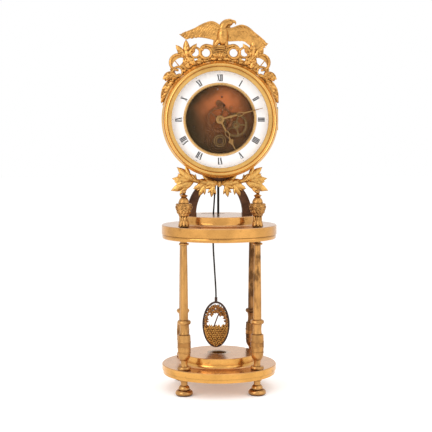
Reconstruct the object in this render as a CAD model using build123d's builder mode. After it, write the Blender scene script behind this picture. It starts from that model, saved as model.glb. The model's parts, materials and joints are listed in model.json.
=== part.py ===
from build123d import *

import os
from math import acos, atan2, cos, degrees, pi, radians, sin, sqrt

# Column table clock: a round base on four feet, four columns, a round upper plate, and an arch
# that carries the dial drum. The front faces -Y, +Z is up, the origin is on the ground under
# the middle of the base. All sizes are millimetres.

# Platforms and feet
PLATE_R = 68.2
PLATE_EDGE = 0.8
COLUMN_FROM_EDGE = 8.1
FOOT_H = 18.9
FOOT_R = 10.4
FOOT_BUN_H = 6.5
FOOT_SWELL = 2.1
FOOT_TIER_R = 6.4
FOOT_TIER_TOP_R = 4.7
FOOT_TIER_H = 5.4
FOOT_TIER_SWELL = 1.0
FOOT_NECK_R = 4.0
FOOT_COLLAR_R = 5.2
FOOT_COLLAR_H = 1.8
BASE_T = 11.3
BASE_FOOT_BAND = 4.6
UPPER_T = 16.0
UPPER_BEAD = 5.0
BAND_STEP = 1.3
PEDESTAL_WALL = 3.0
BASE_PEDESTAL_R = 43.5
BASE_PEDESTAL_H = 12.2
UPPER_PEDESTAL_R = 44.5
UPPER_PEDESTAL_H = 11.3
PEDESTAL_COVE = 4.0
PEDESTAL_COVE_H = 4.0
PEDESTAL_EDGE = 0.7
WELL_R = 8.6
INLAY_R = 14.0
INLAY_T = 1.0

# Columns, from the foot disc up
COLUMN_L = 150.0
COLUMN_DISC_R = 6.9
COLUMN_DISC_H = 4.0
COLUMN_NECK_R = 4.3
COLUMN_NECK_H = 7.0
COLUMN_CUP_H = 8.0
COLUMN_SLEEVE_R = 7.3
COLUMN_SLEEVE_H = 22.0
COLUMN_WAIST_R = 5.6
COLUMN_WAIST_H = 12.5
COLUMN_COLLAR_R = 6.7
COLUMN_COLLAR_H = 4.6
COLUMN_SHAFT_R = 4.8
COLUMN_TOP_R = 3.6
COLUMN_RING_R = 5.1
COLUMN_RING_H = 2.2
STUD_R = 2.0
STUD_IN_FOOT = 8.0
STUD_ABOVE = 7.0
FIT = 0.1

# Urns over the front columns and nuts over the back ones
URN_FOOT_R = 5.6
URN_FOOT_H = 4.0
URN_STEM_R = 3.6
URN_STEM_H = 9.0
URN_KNOP_R = 5.1
URN_BASE_R = 6.4
URN_BASE_H = 2.9
URN_BODY_R = 8.7
URN_BOWL_H = 9.3
URN_RIM_H = 2.3
URN_DOME_R = 6.0
URN_DOME_H = 7.0
FINIAL_NECK_R = 2.9
FINIAL_LIP_R = 4.8
FINIAL_LIP_H = 2.0
FINIAL_BALL_R = 2.7
FINIAL_BALL_H = 4.9
FINIAL_BALL_FOOT_R = 1.3
FINIAL_BALL_TOP_R = 0.7
FINIAL_STUD_R = 1.4
FINIAL_STUD_H = 5.0
NUT_R = 4.5
NUT_H = 8.0

# Arch, saddle and stay
ARCH_HALF = 27.5
ARCH_RISE = 39.0
ARCH_T = 6.0
ARCH_SPREAD = 5.0
ARCH_FOOT_T = 3.0
ARCH_FOOT_W = 12.0
ARCH_DEPTH = 13.0
SADDLE_HALF = 14.0
SADDLE_H = 9.5
STAY_R = 1.4
STAY_Y = 23.5
STAY_IN_CASE = 1.8
ARCH_SCREW_R = 1.2
ARCH_SCREW_IN = 3.0
ARCH_SCREW_HEAD_R = 1.9
ARCH_SCREW_HEAD_H = 2.0

# Dial drum: case and rear door
CASE_R = 58.0
CASE_WALL = 2.5
CASE_FRONT_Y = -20.0
CASE_L = 46.0
FLANGE_OUT = 5.0
FLANGE_IN = 8.0
FLANGE_T = 2.5
DOOR_T = 2.0
DOOR_IN = 1.0
DOOR_GAP = 0.3
DOOR_DISH = 2.0
DOOR_RIM = 9.0
KNOB_R = 3.2
KNOB_L = 7.0
KNOB_FROM_EDGE = 9.0
KNOB_SCREW_R = 1.2

# Hinges
PIN_R = 1.0
KNUCKLE_R = 2.2
KNUCKLE_H = 6.0
KNUCKLE_GAP = 0.3
LUG_T = 3.6
RUN = 0.06
BEZEL_HINGE_IN = 1.8
BEZEL_HINGE_BACK = 2.8
DOOR_HINGE_OUT = 3.0

# Bezel and glass
BEZEL_OUT = 9.8
BEZEL_W = 10.4
BEZEL_T = 12.5
BEZEL_GAP = 0.3
SIGHT_LIP = 1.2
SIGHT_SLOPE = 2.4
BEAD_FROM_EDGE = 2.4
BEAD_W = 4.6
BEAD_RISE = 2.0
BEZEL_GROOVE = 1.0
GLASS_T = 1.6
GLASS_CLEAR = 0.6
GLASS_LAP = 0.9

# Dial
DIAL_EDGE = 0.6
DIAL_W = 15.8
DIAL_T = 2.0
DIAL_RING_W = 1.5
DIAL_RING_LIP = 1.6
DIAL_RING_T = 0.8

# Movement frame
PLATE_T = 2.5
FRONT_PLATE_IN = 1.0
BACK_PLATE_IN = 6.5
PLATE_SPACE = 21.0
PILLAR_R = 3.0
PILLAR_IN = 5.0
PILLAR_TENON_R = 1.5
SCREW_HEAD_R = 2.2
SCREW_HEAD_H = 1.4
SCREW_R = 1.2
SCREW_IN_FLANGE = 1.5
SCREW_IN = 2.3

# Wheels: tooth counts and modules
GREAT_TEETH = 78
CENTRE_PINION = 12
CENTRE_TEETH = 82
THIRD_PINION = 8
CENTRE_MODULE = 0.43
THIRD_TEETH = 88
ESCAPE_PINION = 8
THIRD_MODULE = 0.36
ESCAPE_TEETH = 30
ESCAPE_R = 10.5
ESCAPE_DEPTH = 2.0
ESCAPE_LEAN = 0.25
ESCAPE_RIM = 1.6
ESCAPE_HUB_R = 2.2
RATCHET_LEAN = 0.15
CANNON_TEETH = 14
MINUTE_TEETH = 42
MINUTE_CLEAR = 5.35
MINUTE_PINION = 12
HOUR_TEETH = 48
MINUTE_WHEEL_ANGLE = -19.0
RATCHET_TEETH = 24
RATCHET_R = 8.4
RATCHET_FROM_RING = 6.35
RATCHET_DEPTH = 1.1
WHEEL_T = 1.2
PINION_T = 2.8
WHEEL_TOOTH = 0.40
PINION_TOOTH = 0.34
TIP_SHARE = 0.55
ROOT_SHARE = 1.24
ADDENDUM = 0.80
DEDENDUM = 1.25
RIM = 2.2
HUB_R = 3.2
SPOKE_W = 1.9
SPOKES = 5
ARBOR_R = 1.2
THIN_ARBOR_R = 0.8
ARBOR_SHORT = 0.2
PIVOT_RUN = 0.05
END_SHAKE = 0.3

# Barrel, winding arbor and click
BARREL_STEP = 1.76
BARREL_L = 13.6
GREAT_IN = 3.0
CENTRE_PINION_IN = 3.6
THIRD_IN = 7.6
ESCAPE_IN = 13.0
CENTRE_FROM_BACK = 1.8
BARREL_ARBOR_R = 2.4
WINDING_SQUARE = 3.0
WINDING_SQUARE_L = 3.2
CLICK_ANGLE = -8.0
CLICK_FROM = 14.0
CLICK_TIP_ANGLE = 38.0
CLICK_TIP_R = 0.4
CLICK_R = 2.2
CLICK_SCREW_R = 1.0
CLICK_CLEAR = 0.35
CLICK_SPRING_W = 0.9
CLICK_SPRING_SWEEP = 22.0
CLICK_SPRING_FOOT_R = 1.8
COCK_LENGTH = 12.0
COCK_WIDTH = 7.0
ESCAPE_COCK_T = 1.4
COCK_SCREW_AT = (3.9, 17.6)
COCK_LEAN = 40.0

# Hands
CANNON_R = 1.9
HOUR_PIPE_R = 2.8
HOUR_HAND_OVER = 1.5
HOUR_HAND_ANGLE = 153.0
MINUTE_HAND_SHORT = 4.7
MINUTE_HAND_ANGLE = 75.0
HAND_T = 0.8
HAND_BOSS_R = 4.8
HAND_STEP = 1.2
HAND_W = 1.8
HAND_TIP_W = 0.6
HAND_RIB = 0.9
LOOP_HALF_W = 2.6
LOOP_HALF_L = 4.6
HOUR_LOOP_AT = 19.0
HOUR_TREFOIL_AT = 29.0
TREFOIL_R = 1.7
MINUTE_KNOP_AT = 13.0
MINUTE_LOOP_AT = 24.0
HAND_NUT_R = 2.6
HAND_NUT_T = 1.2
HAND_GAP = 0.8

# Escapement and pendulum
ANCHOR_X = -2.5
ANCHOR_UP = 35.5
ESCAPE_BELOW = 14.9
PALLET_CLEAR = 1.0
PALLET_W = 1.6
PALLET_SPREAD = 45.0
ANCHOR_T = 1.6
ANCHOR_W = 2.0
ANCHOR_HUB_R = 2.6
PALLET_L = 2.2
COCK_ARM = 9.0
COCK_FOOT_R = 2.4
CHEEK_GAP = 0.45
CHEEK_W = 3.0
CHEEK_H = 5.5
CHEEK_FROM = 0.8
COCK_T = 2.0
CRUTCH_Y = 10.5
CRUTCH_L = 46.0
CRUTCH_W = 1.8
CRUTCH_T = 1.2
PENDULUM_Y = 18.0
ROD_BEND_X = -6.8
ROD_TOP_Z = 262.0
ROD_BEND_Z = 196.0
ROD_LOW_X = -6.2
ROD_LOW_Z = 165.0
ROD_BEND_R = 280.0
ROD_R = 0.8
SPRING_T = 0.3
SPRING_W = 4.0
SPRING_UP = 2.2
SPRING_DOWN = 5.0
ROD_BLOCK_W = 3.0
ROD_BLOCK_H = 4.0
FORK_R = 0.6
FORK_GAP = 0.15
FORK_PAST = 0.5
BOB_X = -2.9
BOB_Z = 73.0
BOB_HALF_W = 16.6
BOB_HALF_H = 28.0
BOB_RING = 1.9
BOB_T = 2.6
BOB_SOCKET_R = 1.7
BOB_SOCKET_H = 6.0
ROD_IN_SOCKET = 5.0
ROD_STRAIGHT = 11.0
BASKET_T = 4.0
WREATH_HALF_W = 12.5
WREATH_HALF_H = 20.5
FLOWER_SIDE_R = 2.7
FLOWER_TOP_R = 4.2
FLOWER_STEP = 15
FLOWER_STEM_W = 1.2
FLOWER_STEM_L = 19.0
FLOWER_STEM_LEAN = 22.0
STEM_UP = 7.0
BASKET_LEAVES = 3
BASKET_LEAF_W = 3.2
BASKET_LEAF_L = 4.5
SLOT_HALF = 12.0
SLOT_W = 5.0

# Crest: places are how far out from the drum, and degrees from its top
CREST_T = 4.0
CREST_BAND = 11.0
CREST_BASE = 16.0
CREST_FROM = 16.5
CREST_HALF_W = 29.0
CREST_HALF_H = 11.0
CREST_UP = 17.0
SCROLL_R = 8.6
SCROLL_AT = (22.5, 11.1)
SCROLL_HOLE_R = 4.6
SCROLL_HOLE_AT = (20.9, 11.7)
SCROLL_W = 3.2
CURL_R = 7.0
CURL_AT = (24.6, 20.2)
CURL_HOLE_R = 4.4
SHOULDER_R = 10.8
SHOULDER_AT = (23.9, 36.3)
SHOULDER_LEAN = 38.0
LOW_SCROLL_R = 7.0
LOW_SCROLL_AT = (15.8, 41.3)
LOW_HOLE_R = 4.0
CREST_WEB = [(10.0, 24.3), (26.1, 25.3), (30.8, 31.2), (24.0, 45.0), (10.1, 49.8)]
CREST_LEAVES = [
    ((23.4, 27.8), (42.1, 23.2), 8.0),
    ((24.4, 29.1), (41.7, 30.4), 7.0),
    ((24.3, 27.5), (33.6, 17.1), 7.0),
    ((17.0, 43.9), (23.0, 54.5), 10.0),
    ((15.5, 48.0), (12.4, 73.9), 12.0),
]

# Eagle: places are right and up from the top of the drum
EAGLE_T = 3.6
EAGLE_BODY_AT = (3.5, 39.5)
EAGLE_BODY_R = 6.5
EAGLE_BODY_H = 11.5
EAGLE_HEAD_AT = (11.5, 54.5)
EAGLE_HEAD_R = 4.2
LEFT_WING_TOP = [(-47.2, 40.6), (-30.8, 46.8), (-10.9, 55.3), (1.4, 49.7)]
LEFT_WING_UNDER = [(0.0, 31.5), (-13.4, 35.5), (-21.0, 36.7), (-39.5, 34.6)]
RIGHT_WING_TOP = [(5.0, 48.0), (14.3, 47.9), (27.0, 51.4), (41.8, 41.9), (56.7, 29.8)]
RIGHT_WING_UNDER = [(51.0, 26.0), (48.0, 16.0), (40.0, 23.0), (33.9, 31.5), (22.2, 33.1), (6.0, 33.0)]
EAGLE_NECK = [(-1.0, 46.0), (6.0, 55.5), (10.0, 58.5), (18.0, 54.0), (13.0, 52.5), (11.0, 43.0)]
EAGLE_LEGS = [(-9.0, 24.0), (-7.0, 36.0), (8.0, 36.0), (10.0, 24.0)]
LEG_GAP_AT = (0.5, 31.6)
LEG_GAP_HALF_W = 4.5
LEG_GAP_HALF_H = 2.8
LEG_GAP_LEAN = 25.0

# Laurel spray: each leaf as its distance along the branch, lean and length
SPRAY_T = 3.0
SPRAY_BACK_Y = -10.0
SPRAY_HALF = 40.0
SPRAY_LIFT = 4.0
SPRAY_OVER = 0.4
SPRAY_BOSS_X = 16.0
SPRAY_BOSS_R = 2.4
STEM_W = 4.0
TIE_R = 3.4
LEAF_SHARE = 0.32
LOBE_FROM = 0.30
LOBE_SHARE = 0.52
LOBE_LEAN = 32.0
SPRAY_LEAVES = [
    (2.0, 8.0, 26.0),
    (7.0, -80.0, 16.5),
    (16.0, -62.0, 18.0),
    (26.0, 52.0, 12.0),
    (30.0, 40.0, 26.0),
    (33.0, 8.0, 23.0),
    (30.0, -21.5, 29.0),
]

# Heights and depths that follow from the sizes above
COLUMN_X = (PLATE_R - COLUMN_FROM_EDGE) * cos(pi / 4)
COLUMN_Y = (PLATE_R - COLUMN_FROM_EDGE) * sin(pi / 4)
BASE_TOP = FOOT_H + BASE_T
BASE_PEDESTAL_TOP = BASE_TOP + BASE_PEDESTAL_H
UPPER_BOTTOM = BASE_TOP + COLUMN_L
UPPER_TOP = UPPER_BOTTOM + UPPER_T
UPPER_PEDESTAL_TOP = UPPER_TOP + UPPER_PEDESTAL_H
DIAL_Z = UPPER_PEDESTAL_TOP + ARCH_RISE + ARCH_T + SADDLE_H + CASE_R
CASE_IN_R = CASE_R - CASE_WALL
CASE_BACK_Y = CASE_FRONT_Y + CASE_L
FLANGE_R = CASE_R + FLANGE_OUT
FLANGE_IN_R = CASE_R - FLANGE_IN
DOOR_R = CASE_R - DOOR_IN
DOOR_HINGE_X = CASE_R + DOOR_HINGE_OUT
BEZEL_R = CASE_R + BEZEL_OUT
BEZEL_IN_R = BEZEL_R - BEZEL_W
BEZEL_SIGHT_R = BEZEL_IN_R - SIGHT_LIP
BEZEL_FLAT_R = BEZEL_SIGHT_R + SIGHT_SLOPE
BEZEL_HINGE_X = BEZEL_R - BEZEL_HINGE_IN
BEAD_OUT_R = BEZEL_R - BEAD_FROM_EDGE
BEAD_IN_R = BEAD_OUT_R - BEAD_W
DIAL_R = BEZEL_IN_R - DIAL_EDGE
DIAL_IN_R = DIAL_R - DIAL_W
DIAL_CENTRE_R = DIAL_IN_R - DIAL_RING_W
FRONT_PLATE_R = CASE_IN_R - FRONT_PLATE_IN
BACK_PLATE_R = CASE_IN_R - BACK_PLATE_IN
PILLAR_FROM_CENTRE = BACK_PLATE_R - PILLAR_IN
SCREW_FROM_CENTRE = FRONT_PLATE_R - SCREW_IN
HOUR_HAND_L = DIAL_CENTRE_R + HOUR_HAND_OVER
MINUTE_HAND_L = BEZEL_SIGHT_R - MINUTE_HAND_SHORT
FLANGE_BACK_Y = CASE_FRONT_Y + FLANGE_T
FRONT_PLATE_BACK_Y = FLANGE_BACK_Y + PLATE_T
BACK_PLATE_Y = FRONT_PLATE_BACK_Y + PLATE_SPACE
BACK_PLATE_BACK_Y = BACK_PLATE_Y + PLATE_T
BEZEL_BACK_Y = CASE_FRONT_Y - BEZEL_GAP
BEZEL_FRONT_Y = BEZEL_BACK_Y - BEZEL_T
DOOR_Y = CASE_BACK_Y + DOOR_GAP
DOOR_HINGE_Y = DOOR_Y + DOOR_T / 2
BEZEL_HINGE_Y = BEZEL_BACK_Y + BEZEL_HINGE_BACK
ARCH_OUT_HALF = ARCH_HALF + ARCH_T + ARCH_SPREAD
ARCH_LEG_X = (ARCH_HALF + ARCH_OUT_HALF) / 2
BOSS_SHARE = SPRAY_BOSS_X / ARCH_LEG_X
SPRAY_BOSS_Z = UPPER_PEDESTAL_TOP + (ARCH_RISE + ARCH_T / 2) * sqrt(1 - BOSS_SHARE**2)
SADDLE_RISE = SADDLE_H + CASE_R / 2
PIVOT_Z = DIAL_Z + ANCHOR_UP
DIAL_FRONT_Y = CASE_FRONT_Y - DIAL_T
GLASS_R = BEZEL_SIGHT_R + GLASS_LAP
SOCKET_Z = BOB_Z + BOB_HALF_H - BOB_RING / 2
ROD_END_Z = SOCKET_Z + BOB_SOCKET_H - ROD_IN_SOCKET
BARREL_DOWN = DIAL_CENTRE_R - RATCHET_FROM_RING - RATCHET_R
GREAT_MODULE = 2 * BARREL_DOWN / (GREAT_TEETH + CENTRE_PINION)
BARREL_R = GREAT_MODULE * (GREAT_TEETH / 2 - DEDENDUM) - BARREL_STEP
THIRD_FROM_CENTRE = (CENTRE_TEETH + THIRD_PINION) * CENTRE_MODULE / 2
ESCAPE_FROM_THIRD = (THIRD_TEETH + ESCAPE_PINION) * THIRD_MODULE / 2
MINUTE_MODULE = (DIAL_CENTRE_R - MINUTE_CLEAR) / (CANNON_TEETH / 2 + MINUTE_TEETH + ADDENDUM)
MINUTE_FROM_CENTRE = (CANNON_TEETH + MINUTE_TEETH) * MINUTE_MODULE / 2
HOUR_MODULE = 2 * MINUTE_FROM_CENTRE / (MINUTE_PINION + HOUR_TEETH)

# Arbor places in the dial plane, as right and up from the dial centre
ANCHOR_AT = (ANCHOR_X, ANCHOR_UP)
ESCAPE_AT = (ANCHOR_X, ANCHOR_UP - ESCAPE_BELOW)
ESCAPE_AWAY = sqrt(ESCAPE_AT[0] ** 2 + ESCAPE_AT[1] ** 2)
ESCAPE_BEARING = atan2(ESCAPE_AT[1], ESCAPE_AT[0])
THIRD_TURN = acos(
    (THIRD_FROM_CENTRE**2 + ESCAPE_AWAY**2 - ESCAPE_FROM_THIRD**2)
    / (2 * THIRD_FROM_CENTRE * ESCAPE_AWAY)
)
THIRD_BEARING = ESCAPE_BEARING - THIRD_TURN
THIRD_AT = (THIRD_FROM_CENTRE * cos(THIRD_BEARING), THIRD_FROM_CENTRE * sin(THIRD_BEARING))
BARREL_AT = (0.0, -BARREL_DOWN)
CLICK_AT = (
    CLICK_FROM * cos(radians(CLICK_ANGLE)),
    CLICK_FROM * sin(radians(CLICK_ANGLE)) - BARREL_DOWN,
)
CLICK_TIP_AWAY = RATCHET_R + CLICK_CLEAR + CLICK_TIP_R
CLICK_TIP = (
    CLICK_TIP_AWAY * cos(radians(CLICK_TIP_ANGLE)),
    CLICK_TIP_AWAY * sin(radians(CLICK_TIP_ANGLE)) - BARREL_DOWN,
)
MINUTE_BEARING = radians(MINUTE_WHEEL_ANGLE)
MINUTE_AT = (MINUTE_FROM_CENTRE * cos(MINUTE_BEARING), MINUTE_FROM_CENTRE * sin(MINUTE_BEARING))

# Depths of the wheels inside the movement, and of the motion work and hands before it
GREAT_Y = FRONT_PLATE_BACK_Y + GREAT_IN
CENTRE_PINION_Y = FRONT_PLATE_BACK_Y + CENTRE_PINION_IN
THIRD_Y = FRONT_PLATE_BACK_Y + THIRD_IN
ESCAPE_PINION_Y = THIRD_Y + (PINION_T - WHEEL_T) / 2
ESCAPE_Y = FRONT_PLATE_BACK_Y + ESCAPE_IN
CENTRE_Y = BACK_PLATE_Y - CENTRE_FROM_BACK
THIRD_PINION_Y = CENTRE_Y + (PINION_T - WHEEL_T) / 2
RATCHET_Y = FLANGE_BACK_Y - END_SHAKE
MINUTE_WHEEL_Y = RATCHET_Y - WHEEL_T - END_SHAKE
HOUR_WHEEL_Y = MINUTE_WHEEL_Y - WHEEL_T - END_SHAKE
HOUR_HAND_Y = HOUR_WHEEL_Y - WHEEL_T - HAND_STEP
MINUTE_HAND_Y = HOUR_HAND_Y - HAND_T - HAND_GAP
CANNON_FRONT_Y = MINUTE_HAND_Y - HAND_T - HAND_NUT_T
GLASS_Y = CANNON_FRONT_Y - GLASS_CLEAR
COCK_Y = CRUTCH_Y + 2 * CRUTCH_T + END_SHAKE
SQUARE_Y = RATCHET_Y - WHEEL_T - END_SHAKE

os.makedirs("parts", exist_ok=True)


def save(name, piece):
    """Label a finished piece and write it to its own file."""
    piece.part.label = name
    export_step(piece.part, f"parts/{name}.step")


def facing(y, at=(0.0, 0.0)):
    """The plane that faces the viewer at depth y, with its origin on the dial centre or beside it."""
    return Plane(origin=(at[0], y, DIAL_Z + at[1]), x_dir=(1, 0, 0), z_dir=(0, -1, 0))


def hand_plane(y, clock_angle):
    """A plane at the dial centre whose own Y axis points along a hand."""
    turn = radians(clock_angle)
    return Plane(origin=(0, y, DIAL_Z), x_dir=(cos(turn), 0, -sin(turn)), z_dir=(0, -1, 0))


def upright(x, y, z):
    """The plane of a turned profile whose axis stands at x, y, starting at height z."""
    return Plane(origin=(x, y, z), x_dir=(1, 0, 0), z_dir=(0, -1, 0))


def side_on(y=0.0):
    """The plane of a profile turned about the dial axis: own X is radius, own Y is depth back."""
    return Plane(origin=(0, y, DIAL_Z), x_dir=(1, 0, 0), z_dir=(0, 0, 1))


DIAL_AXIS = Axis((0, 0, DIAL_Z), (0, 1, 0))


def profile(at, outline):
    """A closed face through the points. A third number swells that side outwards as an arc."""
    with BuildSketch(at) as face:
        with BuildLine():
            for start, end in zip(outline, outline[1:] + outline[:1]):
                if len(end) > 2:
                    SagittaArc(start[:2], end[:2], -end[2])
                else:
                    Line(start[:2], end[:2])
        make_face()
    return face.sketch


def stack(steps):
    """Turn (radius, height, swell) steps into a closed half outline that starts on the axis."""
    points = [(0.0, 0.0)]
    z = 0.0
    for bottom_r, top_r, height, swell in steps:
        if points[-1][0] != bottom_r:
            points.append((bottom_r, z))
        z += height
        points.append((top_r, z, swell) if swell else (top_r, z))
    points.append((0.0, z))
    return points


def teeth(at, count, module, share, phase=0.0):
    """A toothed disc with straight flanks. At phase 0 a tooth points along the plane's own X axis."""
    pitch_r = count * module / 2
    tip_r = pitch_r + ADDENDUM * module
    root_r = pitch_r - DEDENDUM * module
    step = 2 * pi / count
    half_root = step * share * ROOT_SHARE / 2
    half_tip = step * share * TIP_SHARE / 2
    points = []
    for i in range(count):
        middle = radians(phase) + i * step
        for radius, turn in (
            (root_r, -half_root),
            (tip_r, -half_tip),
            (tip_r, half_tip),
            (root_r, half_root),
        ):
            points.append((radius * cos(middle + turn), radius * sin(middle + turn)))
    with BuildSketch(at) as disc:
        with BuildLine():
            Polyline(*points, close=True)
        make_face()
    return disc.sketch


def crossings(at, rim_r, hub_r, spokes=SPOKES):
    """The open sectors between the spokes of a wheel."""
    with BuildSketch(at) as gaps:
        Circle(rim_r)
        Circle(hub_r, mode=Mode.SUBTRACT)
        with PolarLocations(rim_r / 2, spokes):
            Rectangle(rim_r, SPOKE_W, mode=Mode.SUBTRACT)
    return gaps.sketch


def saw(at, count, tip_r, depth, lean):
    """A disc of slanted teeth, for the ratchet and the escape wheel."""
    step = 2 * pi / count
    root_r = tip_r - depth
    points = []
    for i in range(count):
        points.append((tip_r * cos(i * step), tip_r * sin(i * step)))
        points.append((root_r * cos((i + lean) * step), root_r * sin((i + lean) * step)))
    with BuildSketch(at) as disc:
        with BuildLine():
            Polyline(*points, close=True)
        make_face()
    return disc.sketch


def disc(at, radius):
    """A plain round face."""
    with BuildSketch(at) as face:
        Circle(radius)
    return face.sketch


def ring(at, outer_r, inner_r):
    """A plain annular face."""
    with BuildSketch(at) as face:
        Circle(outer_r)
        Circle(inner_r, mode=Mode.SUBTRACT)
    return face.sketch


def arc_band(at, radius, width, start, sweep):
    """Part of a ring, of a given width, round the origin of a plane."""
    with BuildSketch(at) as band:
        with BuildLine():
            outer = CenterArc((0, 0), radius + width / 2, start, sweep)
            inner = CenterArc((0, 0), radius - width / 2, start, sweep)
            Line(outer @ 0, inner @ 0)
            Line(outer @ 1, inner @ 1)
        make_face()
    return band.sketch


def leaf(at, base, tip, width):
    """A pointed leaf on a plane, from its base to its tip."""
    with BuildSketch(at) as blade:
        with BuildLine():
            SagittaArc(base, tip, width / 2)
            SagittaArc(tip, base, width / 2)
        make_face()
    return blade.sketch


def mesh_phase(bearing, driver_teeth, driver_phase, driven_teeth):
    """The phase, in degrees, that puts a gap of the driven wheel on the driver's tooth."""
    pitch = 360.0 / driver_teeth
    ahead = (degrees(bearing) - driver_phase) / pitch
    share = ahead - round(ahead)
    driven_pitch = 360.0 / driven_teeth
    return degrees(bearing) + 180.0 + (share + 0.5) * driven_pitch


# Feet: turned buns with a neck, bored for the column studs
for side, x in (("left", -COLUMN_X), ("right", COLUMN_X)):
    for end, y in (("front", -COLUMN_Y), ("back", COLUMN_Y)):
        neck_h = FOOT_H - FOOT_BUN_H - FOOT_TIER_H - FOOT_COLLAR_H
        seat_r = FOOT_R - FOOT_SWELL
        with BuildPart() as foot:
            revolve(
                profile(
                    upright(x, y, 0),
                    stack(
                        [
                            (seat_r, seat_r, FOOT_BUN_H, FOOT_SWELL),
                            (FOOT_TIER_R, FOOT_TIER_TOP_R, FOOT_TIER_H, FOOT_TIER_SWELL),
                            (FOOT_NECK_R, FOOT_NECK_R, neck_h, 0),
                            (FOOT_COLLAR_R, FOOT_COLLAR_R, FOOT_COLLAR_H, 0),
                        ]
                    ),
                ),
                axis=Axis((x, y, 0), (0, 0, 1)),
            )
            with Locations((x, y, FOOT_H)):
                Hole(STUD_R + FIT, depth=STUD_IN_FOOT + FIT)
        save(f"foot_{end}_{side}", foot)

# Base plate: a moulded disc in two bands, drilled for the studs
with BuildPart() as base_plate:
    revolve(
        profile(
            upright(0, 0, FOOT_H),
            stack(
                [
                    (PLATE_R - BAND_STEP, PLATE_R - BAND_STEP, BASE_FOOT_BAND, 0),
                    (PLATE_R, PLATE_R, BASE_T - BASE_FOOT_BAND - PLATE_EDGE, 0),
                    (PLATE_R, PLATE_R - PLATE_EDGE, PLATE_EDGE, 0),
                ]
            ),
        ),
        axis=Axis.Z,
    )
    with Locations((0, 0, BASE_TOP)):
        with GridLocations(2 * COLUMN_X, 2 * COLUMN_Y, 2, 2):
            Hole(STUD_R + FIT, depth=BASE_T)
save("base_plate", base_plate)

# Base pedestal: a hollow turned drum with a well in its top and a seat for the inlay ring
cove_swell = -PEDESTAL_COVE / 5
base_band_h = BASE_PEDESTAL_H - PEDESTAL_COVE_H - PEDESTAL_EDGE
upper_band_h = UPPER_PEDESTAL_H - PEDESTAL_COVE_H - PEDESTAL_EDGE
with BuildPart() as base_pedestal:
    revolve(
        profile(
            upright(0, 0, BASE_TOP),
            stack(
                [
                    (BASE_PEDESTAL_R + PEDESTAL_COVE, BASE_PEDESTAL_R, PEDESTAL_COVE_H, cove_swell),
                    (BASE_PEDESTAL_R, BASE_PEDESTAL_R, base_band_h, 0),
                    (BASE_PEDESTAL_R, BASE_PEDESTAL_R - PEDESTAL_EDGE, PEDESTAL_EDGE, 0),
                ]
            ),
        ),
        axis=Axis.Z,
    )
    with BuildSketch(Plane.XY.offset(BASE_TOP)):
        Circle(BASE_PEDESTAL_R - PEDESTAL_WALL)
    extrude(amount=BASE_PEDESTAL_H - PEDESTAL_WALL, mode=Mode.SUBTRACT)
    with BuildSketch(Plane.XY.offset(BASE_PEDESTAL_TOP - INLAY_T)):
        Circle(INLAY_R)
    extrude(amount=INLAY_T, mode=Mode.SUBTRACT)
    with Locations((0, 0, BASE_PEDESTAL_TOP)):
        Hole(WELL_R, depth=PEDESTAL_WALL)
save("base_pedestal", base_pedestal)

# Inlay ring: a pale turned ring let into the top of the base pedestal round the well
with BuildPart() as base_inlay:
    extrude(ring(Plane.XY.offset(BASE_PEDESTAL_TOP - INLAY_T), INLAY_R - FIT, WELL_R), amount=INLAY_T)
save("base_inlay", base_inlay)

# Columns: turned in one piece, with a stud at each end
for side, x in (("left", -COLUMN_X), ("right", COLUMN_X)):
    for end, y in (("front", -COLUMN_Y), ("back", COLUMN_Y)):
        shaft_l = (
            COLUMN_L
            - COLUMN_DISC_H
            - COLUMN_NECK_H
            - COLUMN_CUP_H
            - COLUMN_SLEEVE_H
            - COLUMN_WAIST_H
            - COLUMN_COLLAR_H
            - 2 * COLUMN_RING_H
        )
        with BuildPart() as column:
            revolve(
                profile(
                    upright(x, y, BASE_TOP),
                    stack(
                        [
                            (COLUMN_DISC_R, COLUMN_DISC_R, COLUMN_DISC_H, COLUMN_DISC_H / 4),
                            (COLUMN_NECK_R, COLUMN_NECK_R, COLUMN_NECK_H, -COLUMN_NECK_R / 10),
                            (COLUMN_NECK_R, COLUMN_SLEEVE_R, COLUMN_CUP_H, COLUMN_NECK_R / 5),
                            (COLUMN_SLEEVE_R, COLUMN_SLEEVE_R, COLUMN_SLEEVE_H, COLUMN_SLEEVE_R / 20),
                            (COLUMN_WAIST_R, COLUMN_WAIST_R, COLUMN_WAIST_H, -COLUMN_WAIST_R / 8),
                            (COLUMN_COLLAR_R, COLUMN_COLLAR_R, COLUMN_COLLAR_H, COLUMN_COLLAR_H / 4),
                            (COLUMN_SHAFT_R, COLUMN_TOP_R, shaft_l, COLUMN_SHAFT_R / 30),
                            (COLUMN_RING_R, COLUMN_RING_R, COLUMN_RING_H, COLUMN_RING_H / 3),
                            (COLUMN_TOP_R, COLUMN_TOP_R, COLUMN_RING_H, 0),
                        ]
                    ),
                ),
                axis=Axis((x, y, 0), (0, 0, 1)),
            )
            with BuildSketch(Plane(origin=(x, y, BASE_TOP))):
                Circle(STUD_R)
            extrude(amount=-(BASE_T + STUD_IN_FOOT))
            with BuildSketch(Plane(origin=(x, y, UPPER_BOTTOM))):
                Circle(STUD_R)
            extrude(amount=UPPER_T + STUD_ABOVE)
        save(f"column_{end}_{side}", column)

# Nuts on the studs of the back columns
with BuildPart() as column_nuts:
    for x in (-COLUMN_X, COLUMN_X):
        with BuildSketch(Plane(origin=(x, COLUMN_Y, UPPER_TOP))):
            Circle(NUT_R)
            Circle(STUD_R, mode=Mode.SUBTRACT)
        extrude(amount=NUT_H)
    rims = column_nuts.edges().filter_by(GeomType.CIRCLE).group_by(Axis.Z)[-1].group_by(SortBy.RADIUS)[-1]
    fillet(rims, radius=NUT_R / 4)
save("column_nuts", column_nuts)

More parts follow.
